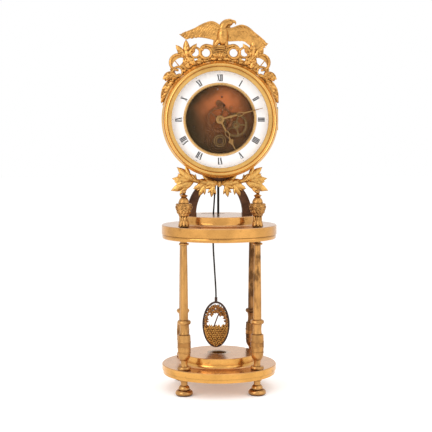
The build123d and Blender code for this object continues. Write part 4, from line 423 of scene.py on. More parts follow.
def blade(bm, base, tip, width, place, rise=1.2, rib=0.35, lobes=0, cut=0.3, bend=0.0, veins=0.12,
          round_tip=False, long=13, wide=8, sink=0.4, hollow=0.0):
    """A leaf or feather: a domed blade with a rib, side veins and, if asked, lobed edges."""
    start = Vector(base)
    way = Vector(tip) - start
    length = way.length
    way.normalize()
    side = Vector((-way.y, way.x))
    front, back = [], []
    for i in range(long + 1):
        t = i / long
        if round_tip:
            half = 0.5 * width * (0.55 + 0.45 * min(1.0, 3.0 * t)) * max(0.0, 1.0 - t**7) ** 0.6
        else:
            half = 0.5 * width * sin(pi * t**0.8) ** 0.75
        if lobes:
            half *= 1.0 - cut * (0.5 - 0.5 * cos(2 * pi * lobes * t + pi)) * (0.3 + 0.7 * t)
        half = max(half, 0.02 * width)
        spine = start + way * (length * t) + side * (bend * 4 * t * (1 - t))
        row, under = [], []
        for j in range(wide + 1):
            s = 2 * j / wide - 1
            lean = way * (abs(s) * half * 0.35 * (1 - t) if lobes else 0.0)
            spot = spine + side * (s * half) + lean
            dome = rise * sin(pi * min(1.0, 0.12 + 0.88 * t)) ** 0.6 * (1 - s * s) ** 0.8
            dome += rib * math.exp(-(s / 0.14) ** 2) * (1 - t)
            dome -= hollow * math.exp(-((abs(s) - 0.45) / 0.22) ** 2)
            dome += veins * cos(2 * pi * (5.0 * t - 1.2 * abs(s))) * (1 - abs(s)) * abs(s) * 4
            row.append(place(spot.x, spot.y, dome))
            under.append(place(spot.x, spot.y, -sink))
        front.append(row)
        back.append(under)
    sheet_mesh(bm, front, back)


def tube(bm, path, radii, sides):
    """A round rod along points, with its own radius at each."""
    points = [Vector(p) for p in path]
    rings, normal = [], None
    for i, spot in enumerate(points):
        way = (points[min(i + 1, len(points) - 1)] - points[max(i - 1, 0)]).normalized()
        if normal is None:
            guess = Vector((0, 1, 0)) if abs(way.y) < 0.9 else Vector((1, 0, 0))
            normal = way.cross(guess).normalized()
        else:
            normal = (normal - way * normal.dot(way)).normalized()
        other = way.cross(normal)
        rings.append([spot + radii[i] * (cos(turn) * normal + sin(turn) * other) for turn in circle(sides)])
    skin(bm, rings)


def scroll(centre, y, radii, start, turns, steps):
    """Points of a flat spiral, from its outside in."""
    turned_to = taper(steps + 1, radians(start), radians(start + 360.0 * turns))
    return [(centre[0] + radius * cos(turn), y, centre[1] + radius * sin(turn))
            for radius, turn in zip(taper(steps + 1, *radii), turned_to)]


def taper(count, first, last, swell=0.0):
    """Even steps from one value to another, such as a rod's radii, larger at the middle if asked."""
    shares = [i / (count - 1) for i in range(count)]
    return [first + (last - first) * t + swell * sin(pi * t) for t in shares]


def lump(bm, centre, radii, rows, columns, dent=None):
    """A rounded lump, with its surface moved in or out by a function of turn and height."""
    rings = []
    for i in range(1, rows):
        lift = pi * i / rows - pi / 2
        ring = []
        for turn in circle(columns):
            more = 1.0 + (dent(turn, lift) if dent else 0.0)
            ring.append((centre[0] + radii[0] * more * cos(lift) * sin(turn),
                         centre[1] - radii[1] * more * cos(lift) * cos(turn),
                         centre[2] + radii[2] * more * sin(lift)))
        rings.append(ring)
    made = skin(bm, rings, False)
    for ring, way in ((made[0][::-1], -1), (made[-1], 1)):
        pole = bm.verts.new(Vector((centre[0], centre[1], centre[2] + way * radii[2])) * MM)
        for j in range(columns):
            bm.faces.new((pole, ring[j - 1], ring[j]))


def turned(bm, outline, place, sides, closed=True):
    """An outline (radius, along) turned about an axis; place maps (radius, turn, along)."""
    if closed:
        outline = [*outline, outline[0]]
    skin(bm, [[place(radius, turn, along) for turn in circle(sides)] for radius, along in outline], not closed)


def about_dial(x, up):
    """The map of a turned ring about an axis that points at the viewer."""
    return lambda radius, turn, along: (x + radius * sin(turn), along, DIAL_Z + up + radius * cos(turn))


def about_post(x, y):
    """The map of a turned ring about an upright axis."""
    return lambda radius, turn, along: (x + radius * sin(turn), y - radius * cos(turn), along)


def through(points, count):
    """Evenly spaced points of a smooth curve through a few points."""
    points = [Vector(p) for p in points]
    ends = [2 * points[0] - points[1], *points, 2 * points[-1] - points[-2]]
    out = []
    for i in range(count):
        f = i / (count - 1) * (len(points) - 1)
        k = min(int(f), len(points) - 2)
        t = f - k
        a, b, c, d = ends[k:k + 4]
        out.append(0.5 * (2 * b + (c - a) * t + (2 * a - 5 * b + 4 * c - d) * t * t
                          + (3 * b - a - 3 * c + d) * t**3))
    return out


# Dial: painted numerals and minute dots on the enamel

DIAL_Y = -22.0
INK_PROUD, INK_SUNK = 0.09, 0.02


def stroke(bm, centre_turn, mid_r, x, tall, thick, lean=0.0):
    """One bar of a numeral, on the dial at a turn from twelve o'clock."""
    c, s = cos(centre_turn), sin(centre_turn)
    front, back = [], []
    for away, mid in ((mid_r + tall / 2, x - lean / 2), (mid_r - tall / 2, x + lean / 2)):
        spots = [(away * s + across * c, DIAL_Z + away * c - across * s)
                 for across in (mid - thick / 2, mid + thick / 2)]
        front.append([(px, DIAL_Y - INK_PROUD, pz) for px, pz in spots])
        back.append([(px, DIAL_Y + INK_SUNK, pz) for px, pz in spots])
    sheet_mesh(bm, front, back)


HOURS = "I II III IIII V VI VII VIII IX X XI XII".split()
TALL = 7.6
NUMERAL_R = 48.2
THICK, THIN, SERIF = 1.25, 0.34, 0.22
SERIF_SHORT = 0.35
GLYPH_W = {"I": 1.7, "V": 3.5, "X": 3.4}
# The strokes of each glyph: place across, thickness and lean
STROKES = {"I": ((0.0, THICK, 0.0),), "V": ((-0.7, THICK, 1.4), (0.7, THIN, -1.4)),
           "X": ((0.0, THICK, 2.1), (0.0, THIN, -2.1))}
bm = bmesh.new()
for hour, text in enumerate(HOURS, 1):
    angle = radians(30 * hour)
    total = sum(GLYPH_W[g] for g in text)
    x = -total / 2
    for glyph in text:
        mid = x + GLYPH_W[glyph] / 2
        x += GLYPH_W[glyph]
        for shift, thick, lean in STROKES[glyph]:
            stroke(bm, angle, NUMERAL_R, mid + shift, TALL, thick, lean)
    for end in (-TALL / 2, TALL / 2):
        stroke(bm, angle, NUMERAL_R + end, 0.0, SERIF, total - SERIF_SHORT)
finish_piece("hour_numerals", bm, "numeral_ink", angle=30)

DOT_RING_R = 54.9
HOUR_DOT, MINUTE_DOT, DOT_PROUD = 0.42, 0.24, 0.12
bm = bmesh.new()
for minute in range(60):
    turn_at = radians(6 * minute)
    size = MINUTE_DOT if minute % 5 else HOUR_DOT
    spot = (DOT_RING_R * sin(turn_at), DIAL_Y, DIAL_Z + DOT_RING_R * cos(turn_at))
    lump(bm, spot, (size, DOT_PROUD, size), 4, 8)
finish_piece("minute_dots", bm, "numeral_ink")


# Movement plate: screws, oil sinks and turned rings

PLATE_FACE = -17.5
RATCHET_FACE = -19.0
HOUR_HAND_FACE = -23.95
WINDING_UP = -24.75
RING_SUNK = 0.05


def screw(x, up, face, radius, height, slot_turn, slot_r):
    """A domed screw head on a face that looks to the front, and a thin dark bar of painted shade that shows as its
    slot.
    """
    top = face - height
    turned(heads, [(0.01, top), (radius * 0.7, top), (radius, face - height * 0.6), (radius, face), (0.01, face)],
           about_dial(x, up), 20, False)
    dx, dz = cos(slot_turn) * radius * 0.95, sin(slot_turn) * radius * 0.95
    # Painted shade: a thin dark bar across the head stands for the shadow in its slot.
    tube(slots, [(x + t * dx, top + 0.02, DIAL_Z + up + t * dz) for t in (-1, 0, 1)], [slot_r] * 3, 6)


def raised_ring(bm, x, up, radius, face, half_foot, half_top, proud, sides):
    """A low turned ring on a face that looks to the front, its foot sunk a little into the face."""
    foot, top = face + RING_SUNK, face - proud
    turned(bm, [(radius - half_foot, foot), (radius - half_top, top), (radius + half_top, top),
                (radius + half_foot, foot)], about_dial(x, up), sides)


heads, slots = bmesh.new(), bmesh.new()
for x, up, radius, slot_turn in ((2.4, 26.4, 1.1, 0.2), (-30.5, -8.0, 1.3, 2.0), (-17.0, -26.0, 1.3, 2.6),
                                 (29.0, -19.5, 1.3, 1.7)):
    screw(x, up, PLATE_FACE, radius, 0.9, slot_turn, radius * 0.13)
screw(5.2, 16.4, PLATE_FACE - 1.4, 1.3, 0.8, 1.2, 0.16)
finish_piece("plate_screws", heads, "dark_screws")
finish_piece("plate_screw_slot_shades", slots, "black_steel")

bm = bmesh.new()
for x, up, radius in ((13.4, 13.9, 2.0), (-11.0, 9.0, 1.6), (-14.0, -14.0, 1.5)):
    raised_ring(bm, x, up, radius, PLATE_FACE, 0.35, 0.2, 0.22, 28)
for radius in (10.2, 12.6, 15.0):
    raised_ring(bm, 0.0, WINDING_UP, radius, PLATE_FACE, 0.3, 0.15, 0.16, 64)
finish_piece("plate_rings", bm, "red_brass")

bm = bmesh.new()
for radius in (4.3, 6.6):
    raised_ring(bm, 0.0, WINDING_UP, radius, RATCHET_FACE, 0.4, 0.25, 0.2, 48)
finish_piece("ratchet_rings", bm, "gilt_hands", "winding_arbor")

bm = bmesh.new()
raised_ring(bm, 0.0, 0.0, 4.0, HOUR_HAND_FACE, 0.7, 0.5, 0.4, 48)
finish_piece("hour_hand_boss", bm, "motion_metal", "hour_group")


# Crest: scrolls round the openings, acanthus leaves and a palmette, over the pierced plate

CASE_R = 58.0
CREST_FACE = -17.5
CREST_HALF = 68.6


def crest_spot(side, out, degrees):
    """A place on the crest: how far out from the drum, and degrees from its top."""
    away, turn_at = CASE_R + out, radians(degrees)
    return (side * away * sin(turn_at), DIAL_Z + away * cos(turn_at))


def on_crest(lift):
    """The map of a blade on the face of the crest, held to the width of the crest."""
    flat = to_front(CREST_FACE - lift)
    return lambda x, z, h: flat(min(CREST_HALF, max(-CREST_HALF, x)), z, h)


def crest_leaf(bm, side, base, tip, width, lift, **more):
    """An acanthus leaf on one side of the crest, between two polar places."""
    blade(bm, crest_spot(side, *base), crest_spot(side, *tip), width, on_crest(lift), **more)


def leaflet(bm, side, base, tip, width, lift, rise=1.1, long=11):
    """A small ruffled leaf that stands on the larger ones."""
    crest_leaf(bm, side, base, tip, width, lift, lobes=3, cut=0.4, rise=rise, hollow=0.4, long=long)


SHOULDER = (23.9, 36.3)
# Place, radii of the spiral, turn at its start, turns, steps, radii of the roll, and a knob: end, height, radius
ROLLS = (
    ((20.9, 11.7), (7.6, 5.6), -8, -1.12, 44, (1.5, 1.05, 0.3), (-1, 0.6, 1.7)),
    ((24.6, 20.2), (5.9, 5.5), -50, -0.78, 30, (1.0, 1.3, 0.2), None),
    ((15.8, 41.3), (5.6, 5.2), 100, 1.02, 34, (1.4, 1.1, 0.3), None),
    (SHOULDER, (9.4, 8.8), 75, -0.72, 30, (1.0, 1.5, 0.4), (0, 0.5, 1.8)),
)
# Base and tip, width, lift, number and depth of the lobes, rise and bend
LARGE_LEAVES = (
    ((22.0, 27.8), (42.6, 23.0), 8.6, 0.0, 3, 0.35, 1.5, 0.0),
    ((23.0, 29.5), (42.2, 30.6), 7.6, 0.2, 3, 0.35, 1.4, 0.0),
    ((23.0, 28.0), (33.9, 16.9), 7.6, 0.3, 3, 0.35, 1.4, 0.0),
    ((10.5, 24.0), (26.0, 28.5), 9.0, 0.4, 4, 0.3, 1.6, 0.0),
    ((10.0, 30.5), (24.0, 31.5), 7.5, 0.2, 3, 0.3, 1.4, 0.0),
    ((16.0, 43.6), (23.3, 54.8), 10.6, 0.0, 3, 0.35, 1.7, 0.0),
    ((13.5, 47.0), (12.6, 74.4), 9.8, 0.3, 5, 0.32, 1.8, 0.3),
    ((10.6, 54.0), (18.0, 62.5), 6.5, 0.5, 3, 0.3, 1.2, 0.0),
    ((10.4, 63.0), (15.2, 73.0), 5.5, 0.6, 3, 0.3, 1.1, 0.0),
    ((25.8, 4.0), (29.8, 13.0), 4.0, 0.3, 2, 0.25, 1.0, 0.8),
)
# Bases and tips of the leaflets on the palm and on the leaf below it
PALM_LEAFLETS = (
    ((16.5, 25.0), (21.5, 23.6)), ((17.0, 28.0), (22.4, 29.0)), ((16.5, 31.0), (21.0, 33.4)),
    ((24.5, 26.6), (30.0, 24.4)), ((25.0, 29.6), (30.4, 31.4)), ((30.0, 25.2), (35.4, 22.6)),
    ((30.4, 30.0), (35.4, 31.8)), ((26.5, 23.6), (30.2, 19.6)),
)
scrolls, foliage = bmesh.new(), bmesh.new()
for side in (-1, 1):
    for place, radii, start, turns, steps, roll, knob in ROLLS:
        path = scroll(crest_spot(side, *place), CREST_FACE - 0.3, radii, 90 + side * start, side * turns, steps)
        tube(scrolls, path, taper(steps + 1, *roll), 10)
        if knob:
            end, proud, size = knob
            lump(scrolls, (path[end][0], CREST_FACE - proud, path[end][2]), (size, 1.5, size), 8, 12)
    shoulder = crest_spot(side, *SHOULDER)
    lean = radians(side * 38)
    bar = [(shoulder[0] + t * 4.6 * sin(lean) + side * 2.0, CREST_FACE + 1.6,
            shoulder[1] + t * 4.6 * cos(lean)) for t in (-1.0, -0.3, 0.4, 1.0)]
    tube(scrolls, bar, [0.75, 0.6, 0.6, 0.75], 8)
    for base, tip, width, lift, lobes, cut, rise, bend in LARGE_LEAVES:
        crest_leaf(foliage, side, base, tip, width, lift, lobes=lobes, cut=cut, rise=rise, bend=side * bend)
    for order in range(7):
        degrees = 45.0 + 4.0 * order
        leaflet(foliage, side, (10.4, degrees), (17.2 - 0.35 * order, degrees + 5.5), 4.6, 1.0, 1.2)
    for order in range(3):
        degrees = 43.0 + 3.5 * order
        leaflet(foliage, side, (17.5, degrees), (22.4 - 1.2 * order, degrees + 5.0), 4.2, 1.1)
    for order in range(11):
        degrees = 1.6 + 3.2 * order
        leaflet(foliage, side, (10.0, degrees), (14.9, degrees + 2.6 * (-1) ** order), 3.6, 0.9, long=9)
    for base, tip in PALM_LEAFLETS:
        leaflet(foliage, side, base, tip, 4.4, 1.3)
    for degrees in (5.5, 13.0, 20.5, 35.5, 43.0):
        crest_leaf(foliage, side, (9.7, degrees - 2.6), (14.6, degrees + 3.4), 5.2, 0.3, lobes=2, cut=0.28,
                   rise=1.3, long=9)
    for base, tip in (((15.0, 1.0), (18.5, 7.0)), ((11.5, 2.0), (13.6, 7.2))):
        crest_leaf(foliage, side, base, tip, 4.4, 0.8, rise=1.1, long=9)
PALMETTE_UP = 68.6
for lean in (-46, -23, 0, 23, 46):
    turn_at = radians(lean)
    tip = (13.0 * sin(turn_at), DIAL_Z + 69.5 + 11.5 * cos(turn_at))
    blade(foliage, (0.0, DIAL_Z + PALMETTE_UP), tip, 4.2, on_crest(0.5), rise=1.3, hollow=0.3)
lump(foliage, (0.0, CREST_FACE - 0.8, DIAL_Z + 69.4), (2.6, 1.9, 2.2), 10, 14)
for row, half in ((76.0, 6.4), (78.6, 7.4), (81.2, 7.0)):
    path = [(half * i / 4, CREST_FACE - 0.9, DIAL_Z + row + 0.9 * cos(pi * i / 8)) for i in range(-4, 5)]
    tube(foliage, path, taper(9, 0.5, 0.5, 0.6), 8)
finish_piece("crest_scrolls", scrolls, "gilt_crest", angle=60)
finish_piece("crest_leaves", foliage, "gilt_crest", angle=50)


# Eagle: rows of feathers on both wings, a scaled body, neck, head, beak and talons

EAGLE_FACE = -17.3
EAGLE_MID = -15.5


def over_drum(points):
    """Places counted from the top of the drum, as points on the front."""
    return [(x, DIAL_Z + CASE_R + up, 0.0) for x, up in points]


def at_eagle(*places):
    """Places counted across, behind the eagle's middle and up from the dial centre, as points."""
    return [(x, EAGLE_MID + deep, DIAL_Z + up) for x, deep, up in places]


# The front edge and the back edge of each wing, from the body to the tip
WINGS = (
    ([(1.4, 49.7), (-10.9, 55.3), (-30.8, 46.8), (-47.2, 40.6)],
     [(0.0, 31.5), (-13.4, 35.5), (-21.0, 36.7), (-39.5, 34.6)]),
    ([(5.0, 48.0), (14.3, 47.9), (27.0, 51.4), (41.8, 41.9), (56.7, 29.8)],
     [(6.0, 33.0), (22.2, 33.1), (33.9, 31.5), (42.0, 22.0), (51.0, 22.0)]),
)
# Rows of feathers: how many, how far each lies back, where it starts and ends across the wing, width and lift
FEATHER_ROWS = ((10, 0.30, 0.30, 0.985, 6.6, 0.0), (11, 0.22, 0.14, 0.66, 5.4, 0.6), (12, 0.16, 0.04, 0.36, 4.4, 1.2))
WING_STEPS = 60
feathers = bmesh.new()
for top, under in WINGS:
    lead, trail = through(over_drum(top), WING_STEPS + 1), through(over_drum(under), WING_STEPS + 1)

    def wing_spot(u, w):
        """A place on the wing, u from the body to the tip and w from its front edge to its back edge."""
        k = min(WING_STEPS, max(0, round(WING_STEPS * u)))
        return lead[k].lerp(trail[k], w).to_2d()

    for count, u_back, w_from, w_to, width, lift in FEATHER_ROWS:
        for k in range(count):
            u_tip = 0.14 + 0.86 * k / (count - 1)
            slim = 1.0 - 0.35 * u_tip
            blade(feathers, wing_spot(u_tip - u_back, w_from), wing_spot(u_tip, w_to), width * slim,
                  to_front(EAGLE_FACE - lift * slim), rise=0.8, rib=0.35, veins=0.16, round_tip=True,
                  long=9, wide=6, sink=0.5)
    arm = [(p.x, EAGLE_FACE - 0.7, p.y - 0.9) for p in lead[2:57:3]]
    tube(feathers, arm, taper(len(arm), 1.7, 0.7), 10)
finish_piece("eagle_feathers", feathers, "gilt_cast", angle=55)


def scaled(turn_at, lift):
    """Small overlapping breast feathers, as a swell of a lump."""
    row = lift * 7.5
    return 0.045 + 0.05 * abs(sin(4.5 * turn_at + pi / 2 * math.floor(row))) * (1 - (row % 1.0))


body = bmesh.new()
lump(body, *at_eagle((3.5, 0.0, 97.5)), (6.6, 6.6, 11.6), 40, 48, scaled)
neck = at_eagle((2.5, 0.0, 103.0), (4.2, -0.6, 108.5), (7.6, -0.8, 111.9), (11.4, -0.8, 112.5))
tube(body, through(neck, 15), taper(15, 5.2, 3.6), 16)
lump(body, *at_eagle((11.5, 0.0, 112.6)), (4.4, 4.3, 3.9), 14, 20)
beak = at_eagle((13.8, 0.0, 113.4), (16.9, 0.0, 113.3), (18.4, 0.0, 111.7), (18.1, 0.0, 109.9))
tube(body, through(beak, 11), taper(11, 2.5, 0.25), 12)
for face in (-1, 1):
    lump(body, *at_eagle((13.2, face * 3.9, 113.7)), (0.75, 0.6, 0.75), 8, 10)
    brow = at_eagle((11.2, face * 3.9, 115.0), (13.0, face * 3.8, 114.9), (14.6, face * 3.0, 114.2))
    tube(body, brow, [0.35, 0.6, 0.3], 8)
for hip, knee, foot in (((0.6, 92.5), (-3.6, 88.6), (-5.6, 84.6)), ((6.2, 91.0), (7.3, 87.4), (7.6, 84.0))):
    leg = at_eagle(*((x, -0.9, up) for x, up in (hip, knee, foot)))
    tube(body, through(leg, 9), taper(9, 3.3, 1.5, 0.4), 12)
    for spread in (-2.6, 0.0, 2.6):
        claw = at_eagle((foot[0], -1.4, foot[1]), (foot[0] + 0.7 * spread, -3.3, foot[1] - 0.6),
                        (foot[0] + spread, -3.2, foot[1] - 2.3))
        tube(body, through(claw, 7), taper(7, 0.95, 0.3), 8)
finish_piece("eagle_body", body, "gilt_cast", angle=60)


# Laurel spray: veined, lobed leaves with stems and a tie, over the flat casting

SPRAY_Z = 244.6
SPRAY_RISE = 0.1
SPRAY_FACE = -13.0


def branch_spot(side, along):
    """A place along the stem of one branch, which rises a little to its tip."""
    return (side * along, SPRAY_Z + SPRAY_RISE * along)


def leaned(base, degrees, length, side):
    """The point at a length and lean from a base, mirrored to one side."""
    turn_at = radians(degrees)
    return (base[0] + side * length * cos(turn_at), base[1] + length * sin(turn_at))


# Leaves of one branch: place along it, lean and length
FORKED_LEAVES = ((2.0, 8.0, 26.0), (7.0, -80.0, 16.5), (16.0, -62.0, 18.0), (26.0, 52.0, 12.0), (30.0, 40.0, 26.0),
                 (33.0, 8.0, 23.0), (30.0, -21.5, 29.0))
PLAIN_LEAVES = ((9.0, 12.0, 17.0), (20.0, 14.0, 15.0), (13.0, -16.0, 14.0), (3.0, -22.0, 16.0), (17.0, -34.0, 15.0))
spray = bmesh.new()
for side in (-1, 1):
    for order, (along, lean, length) in enumerate(FORKED_LEAVES):
        base = branch_spot(side, along)
        level = to_front(SPRAY_FACE - 0.15 * (order % 3))
        fork = leaned(base, lean, 0.27 * length, side)
        for spread in (-32.0, 32.0):
            blade(spray, fork, leaned(fork, lean + spread, 0.56 * length, side), 0.22 * length, level, rise=1.0,
                  rib=0.4, veins=0.2)
        blade(spray, base, leaned(base, lean, 1.01 * length, side), 0.38 * length, level, rise=1.5, rib=0.5,
              lobes=2, cut=0.3, veins=0.25, long=17)
    for along, lean, length in PLAIN_LEAVES:
        base = branch_spot(side, along)
        blade(spray, base, leaned(base, lean, length, side), 0.36 * length, to_front(SPRAY_FACE - 0.5), rise=1.3,
              rib=0.4, lobes=2, cut=0.25, veins=0.22)
    blade(spray, (side * 0.5, SPRAY_Z + 0.4), (side * 24.5, SPRAY_Z + 1.6), 9.8, to_front(SPRAY_FACE - 0.7), rise=1.7,
          rib=0.5, lobes=3, cut=0.3, veins=0.3, long=19, wide=10, bend=side * 0.8)
    blade(spray, (side * 15.0, SPRAY_Z + 1.2), (side * 31.0, SPRAY_Z - 5.6), 8.2, to_front(SPRAY_FACE - 0.4), rise=1.5,
          rib=0.5, lobes=3, cut=0.3, veins=0.25, long=15)
    stem = [(side * (t * 36.0 - 3.0), SPRAY_FACE - 0.5, SPRAY_Z + 4.0 * t) for t in (0, 0.25, 0.5, 0.75, 1.0)]
    tube(spray, stem, taper(5, 1.5, 0.8), 10)
for degrees in (-50, 0, 50):
    turn_at = radians(degrees)
    rope = [(3.6 * cos(turn_at) * s, SPRAY_FACE - 1.6, SPRAY_Z + 2.2 * sin(turn_at) + 0.4 * (1 - s * s))
            for s in (-0.5, -0.25, 0.0, 0.25, 0.5)]
    tube(spray, rope, taper(5, 0.9, 0.9, 0.5), 10)
finish_piece("laurel_leaves", spray, "gilt_laurel", angle=50)


# Urns: leaves round bowl and stem, ribs and scrolls on the bowl, beaded rims and a leaf cap on each finial

POST = 42.5
URN_FOOT_Z = 196.2
BOWL_LOW_Z, BOWL_TALL = URN_FOOT_Z + 15.9, 9.3
BOWL_LOW_R, BOWL_TOP_R = 6.4, 8.7


def bowl_r(z):
    """The radius of the bowl at a height."""
    return BOWL_LOW_R + (BOWL_TOP_R - BOWL_LOW_R) * min(1.0, max(0.0, (z - BOWL_LOW_Z) / BOWL_TALL))


def upright(bm, x, y, low, high, width, radius_at, bearing, **more):
    """A leaf that stands on an urn, from one height over its foot to another."""
    blade(bm, (0.0, URN_FOOT_Z + low), (0.0, URN_FOOT_Z + high), width, to_drum(x, y, radius_at, bearing), wide=6,
          **more)


def lump_ring(bm, x, y, count, away, up, radii, rows, columns):
    """Equal lumps in a ring round an urn, at a height over its foot."""
    for turn_at in circle(count):
        lump(bm, (x + away * sin(turn_at), y - away * cos(turn_at), URN_FOOT_Z + up), radii, rows, columns)


for name, x, y in (("left", -POST, -POST), ("right", POST, -POST)):
    urn = bmesh.new()
    for k in range(8):
        on, off = 45 * k, 45 * k + 22.5
        upright(urn, x, y, 16.0, 22.6, 5.0, bowl_r, on, rise=0.8, rib=0.35, lobes=2, cut=0.25, long=9, sink=0.3)
        upright(urn, x, y, 12.4, 6.2, 2.8, lambda z: 3.5, off, rise=0.7, rib=0.25, long=9, sink=0.3)
        upright(urn, x, y, 0.4, 9.6, 4.6, lambda z: 5.6 - 0.16 * (z - URN_FOOT_Z), on, rise=0.9, rib=0.4, lobes=2,
                cut=0.25, long=11, sink=1.6)
        upright(urn, x, y, 13.4, 3.0, 4.0, lambda z: 4.2, off, rise=0.9, rib=0.35, long=11, sink=1.0)
    lump_ring(urn, x, y, 12, 6.5, 18.6, (1.9, 1.9, 3.1), 10, 12)
    for k in range(4):
        on_bowl = to_drum(x, y, bowl_r, 90 * k)
        for side in (-1, 1):
            flat = scroll((side * 2.4, URN_FOOT_Z + 21.6), 0.7, (2.5, 0.625), 90, side * 10 / 9, 22)
            tube(urn, [on_bowl(across, up, proud) for across, proud, up in flat], taper(23, 1.0, 0.6), 8)
    for count, away, up, size in ((26, 8.75, 26.3, 0.75), (18, 5.3, 13.2, 0.6), (20, 5.5, 1.4, 0.65)):
        lump_ring(urn, x, y, count, away, up, (size, size, size), 6, 8)
    finish_piece("urn_relief_" + name, urn, "gilt_urn", angle=55)
    cap = bmesh.new()
    for k in range(7):
        upright(cap, x, y, 28.2, 33.8, 4.6, lambda z: 6.1 - 0.42 * (z - URN_FOOT_Z - 27.5), 360 / 7 * k, rise=0.8,
                rib=0.3, long=9, sink=0.4)
    finish_piece("finial_relief_" + name, cap, "gilt_urn", angle=55)


# Bob: a woven basket with leaves at its edge, below an open wreath of leaves and flowers, on both faces

BOB = (-2.9, 18.0, 73.0)
BOB_HALF_THICK = 1.3
BASKET_HALF_W, BASKET_HALF_H = 14.6, 26.0
BASKET_FROM, BASKET_TALL = -25.6, 21.0
WREATH_HALF_W, WREATH_HALF_H = 12.7, 21.4
LIMIT_HALF_W, LIMIT_HALF_H = 14.8, 26.2
FRAME_HALF_W, FRAME_HALF_H = 15.4, 26.8
STRAND_STEP_X, STRAND_STEP_Z = 2.9, 2.6
weave, wreath, stems = bmesh.new(), bmesh.new(), bmesh.new()
draws = random.Random(7)


def basket_half(z):
    """Half the width of the basket at a height from the middle of the bob."""
    return BASKET_HALF_W * math.sqrt(max(0.0, 1.0 - (z / BASKET_HALF_H) ** 2))


def on_bob(face):
    """The map of a place on one face of the bob, from its centre."""
    return lambda x, z, h: (BOB[0] + x, BOB[1] + face * (BOB_HALF_THICK + h), BOB[2] + z)


front, back = [], []
shares = [2 * j / 16 - 1 for j in range(17)]
for i in range(25):
    z = BASKET_FROM + BASKET_TALL * i / 24
    for rows, face in ((front, -1), (back, 1)):
        rows.append([on_bob(face)(s * basket_half(z), z, 0.7 * (1 - s * s)) for s in shares])
sheet_mesh(weave, front, back)

for face in (-1, 1):
    place = on_bob(face)
    for i in range(-6, 7):
        for j in range(-10, 0):
            spot = (STRAND_STEP_X * (i + 0.5 * (j % 2)) + draws.uniform(-0.5, 0.5), STRAND_STEP_Z * j - 2.0)
            if abs(spot[0]) > basket_half(spot[1]) - 1.0:
                continue
            slope = radians(draws.uniform(28, 68) * (1 if (i + j) % 2 else -1))
            path = [place(spot[0] + t * cos(slope), spot[1] + t * sin(slope), h)
                    for t, h in ((-2.5, 0.0), (-1.3, 0.9), (0.0, 1.3), (1.3, 0.9), (2.5, 0.0))]
            tube(weave, path, [0.45, 0.8, 0.95, 0.8, 0.45], 8)
    for k in range(13):
        across = -12.9 + 2.15 * k
        tall = -3.6 + 4.6 * draws.random()
        blade(weave, (across, -8.0), (across + draws.uniform(-1.6, 1.6), tall), 2.9, place, rise=0.9, rib=0.3,
              long=9, wide=6, sink=0.9)
    for half_w, half_h, first, last, count, leaf in (
        (WREATH_HALF_W, WREATH_HALF_H, -14.0, 194.0, 20, 4.3), (8.2, 16.4, 46.0, 134.0, 7, 3.4),
    ):
        for turn_at in taper(count, radians(first), radians(last)):
            spot = Vector((half_w * cos(turn_at), half_h * sin(turn_at)))
            for petal in range(4):
                lean = 2 * pi * petal / 4 + draws.uniform(-0.5, 0.5)
                tip = spot + leaf * draws.uniform(0.75, 1.0) * Vector((cos(lean), sin(lean)))
                tip /= max(1.0, math.hypot(tip.x / LIMIT_HALF_W, tip.y / LIMIT_HALF_H))
                blade(wreath, spot, tip, 1.9, place, rise=0.8, rib=0.3, long=7, wide=6, sink=0.9)
            lump(wreath, place(spot.x, spot.y, 0.4), (1.15, 0.9, 1.15), 8, 10)
    ring = [place(WREATH_HALF_W * cos(t), WREATH_HALF_H * sin(t), 0.0)
            for t in taper(41, radians(-18), radians(198))]
    tube(stems, ring, taper(41, 0.5, 0.5, 0.1), 8)
    tube(stems, [place(4.0, 14.5, 0.3), place(1.4, 8.0, 0.5), place(-2.8, -3.5, 0.5)], [0.5, 0.6, 0.6], 8)
finish_piece("bob_weave", weave, "gilt_bob", "pendulum", angle=60, stands_for=("bob_basket",))
finish_piece("bob_flowers", wreath, "gilt_foliage", "pendulum", angle=55)
finish_piece("bob_stem", stems, "dark_bronze", "pendulum")

bm = bmesh.new()
edge = [(BOB[0] + FRAME_HALF_W * sin(t), BOB[1], BOB[2] + FRAME_HALF_H * cos(t))
        for t in taper(97, 0.0, 2 * pi)]
tube(bm, edge, [1.2] * 97, 10)
finish_piece("bob_frame_bead", bm, "black_bronze", "pendulum")


# Pendulum rod: its black coat, along the rod's own line and bends

ROD_LINE = [Vector((x, BOB[1], z)) for x, z in ((BOB[0], 103.5), (BOB[0], 112.05), (-6.2, 165.0), (-6.8, 196.0),
                                                (BOB[0], 256.0))]
ROD_BEND_R = 280.0
COAT_R, COAT_END_R = 1.0, 0.85
line = [ROD_LINE[0]]
for before, corner, after in zip(ROD_LINE, ROD_LINE[1:], ROD_LINE[2:]):
    come, go = (corner - before).normalized(), (after - corner).normalized()
    reach_in = ROD_BEND_R * math.tan(come.angle(go) / 2)
    for t in (0.0, 0.25, 0.5, 0.75, 1.0):
        line.append(corner - come * reach_in * (1 - t) ** 2 + go * reach_in * t * t)
line.append(ROD_LINE[-1])
bm = bmesh.new()
tube(bm, line, [COAT_R] * (len(line) - 1) + [COAT_END_R], 14)
finish_piece("pendulum_rod_coat", bm, "black_steel", "pendulum")


# Columns: fine turned beads and darker bands round the sleeves

# The outline of a bead: how far it stands proud of the sleeve, and how far up from its middle
BEAD_LINE = ((-0.1, -0.7), (0.28, -0.42), (0.4, 0.0), (0.28, 0.42), (-0.1, 0.7))
SLEEVE_R, SLEEVE_SWELL, SLEEVE_MID_Z, SLEEVE_HALF = 7.3, 0.365, 60.2, 11.0
NECK_Z, NECK_R = 71.0, 5.9
BEAD_HEIGHTS = (50.2, 56.6, 63.0)
BANDS = ((57.4, 62.2), (71.4, 72.2), (50.9, 51.6))


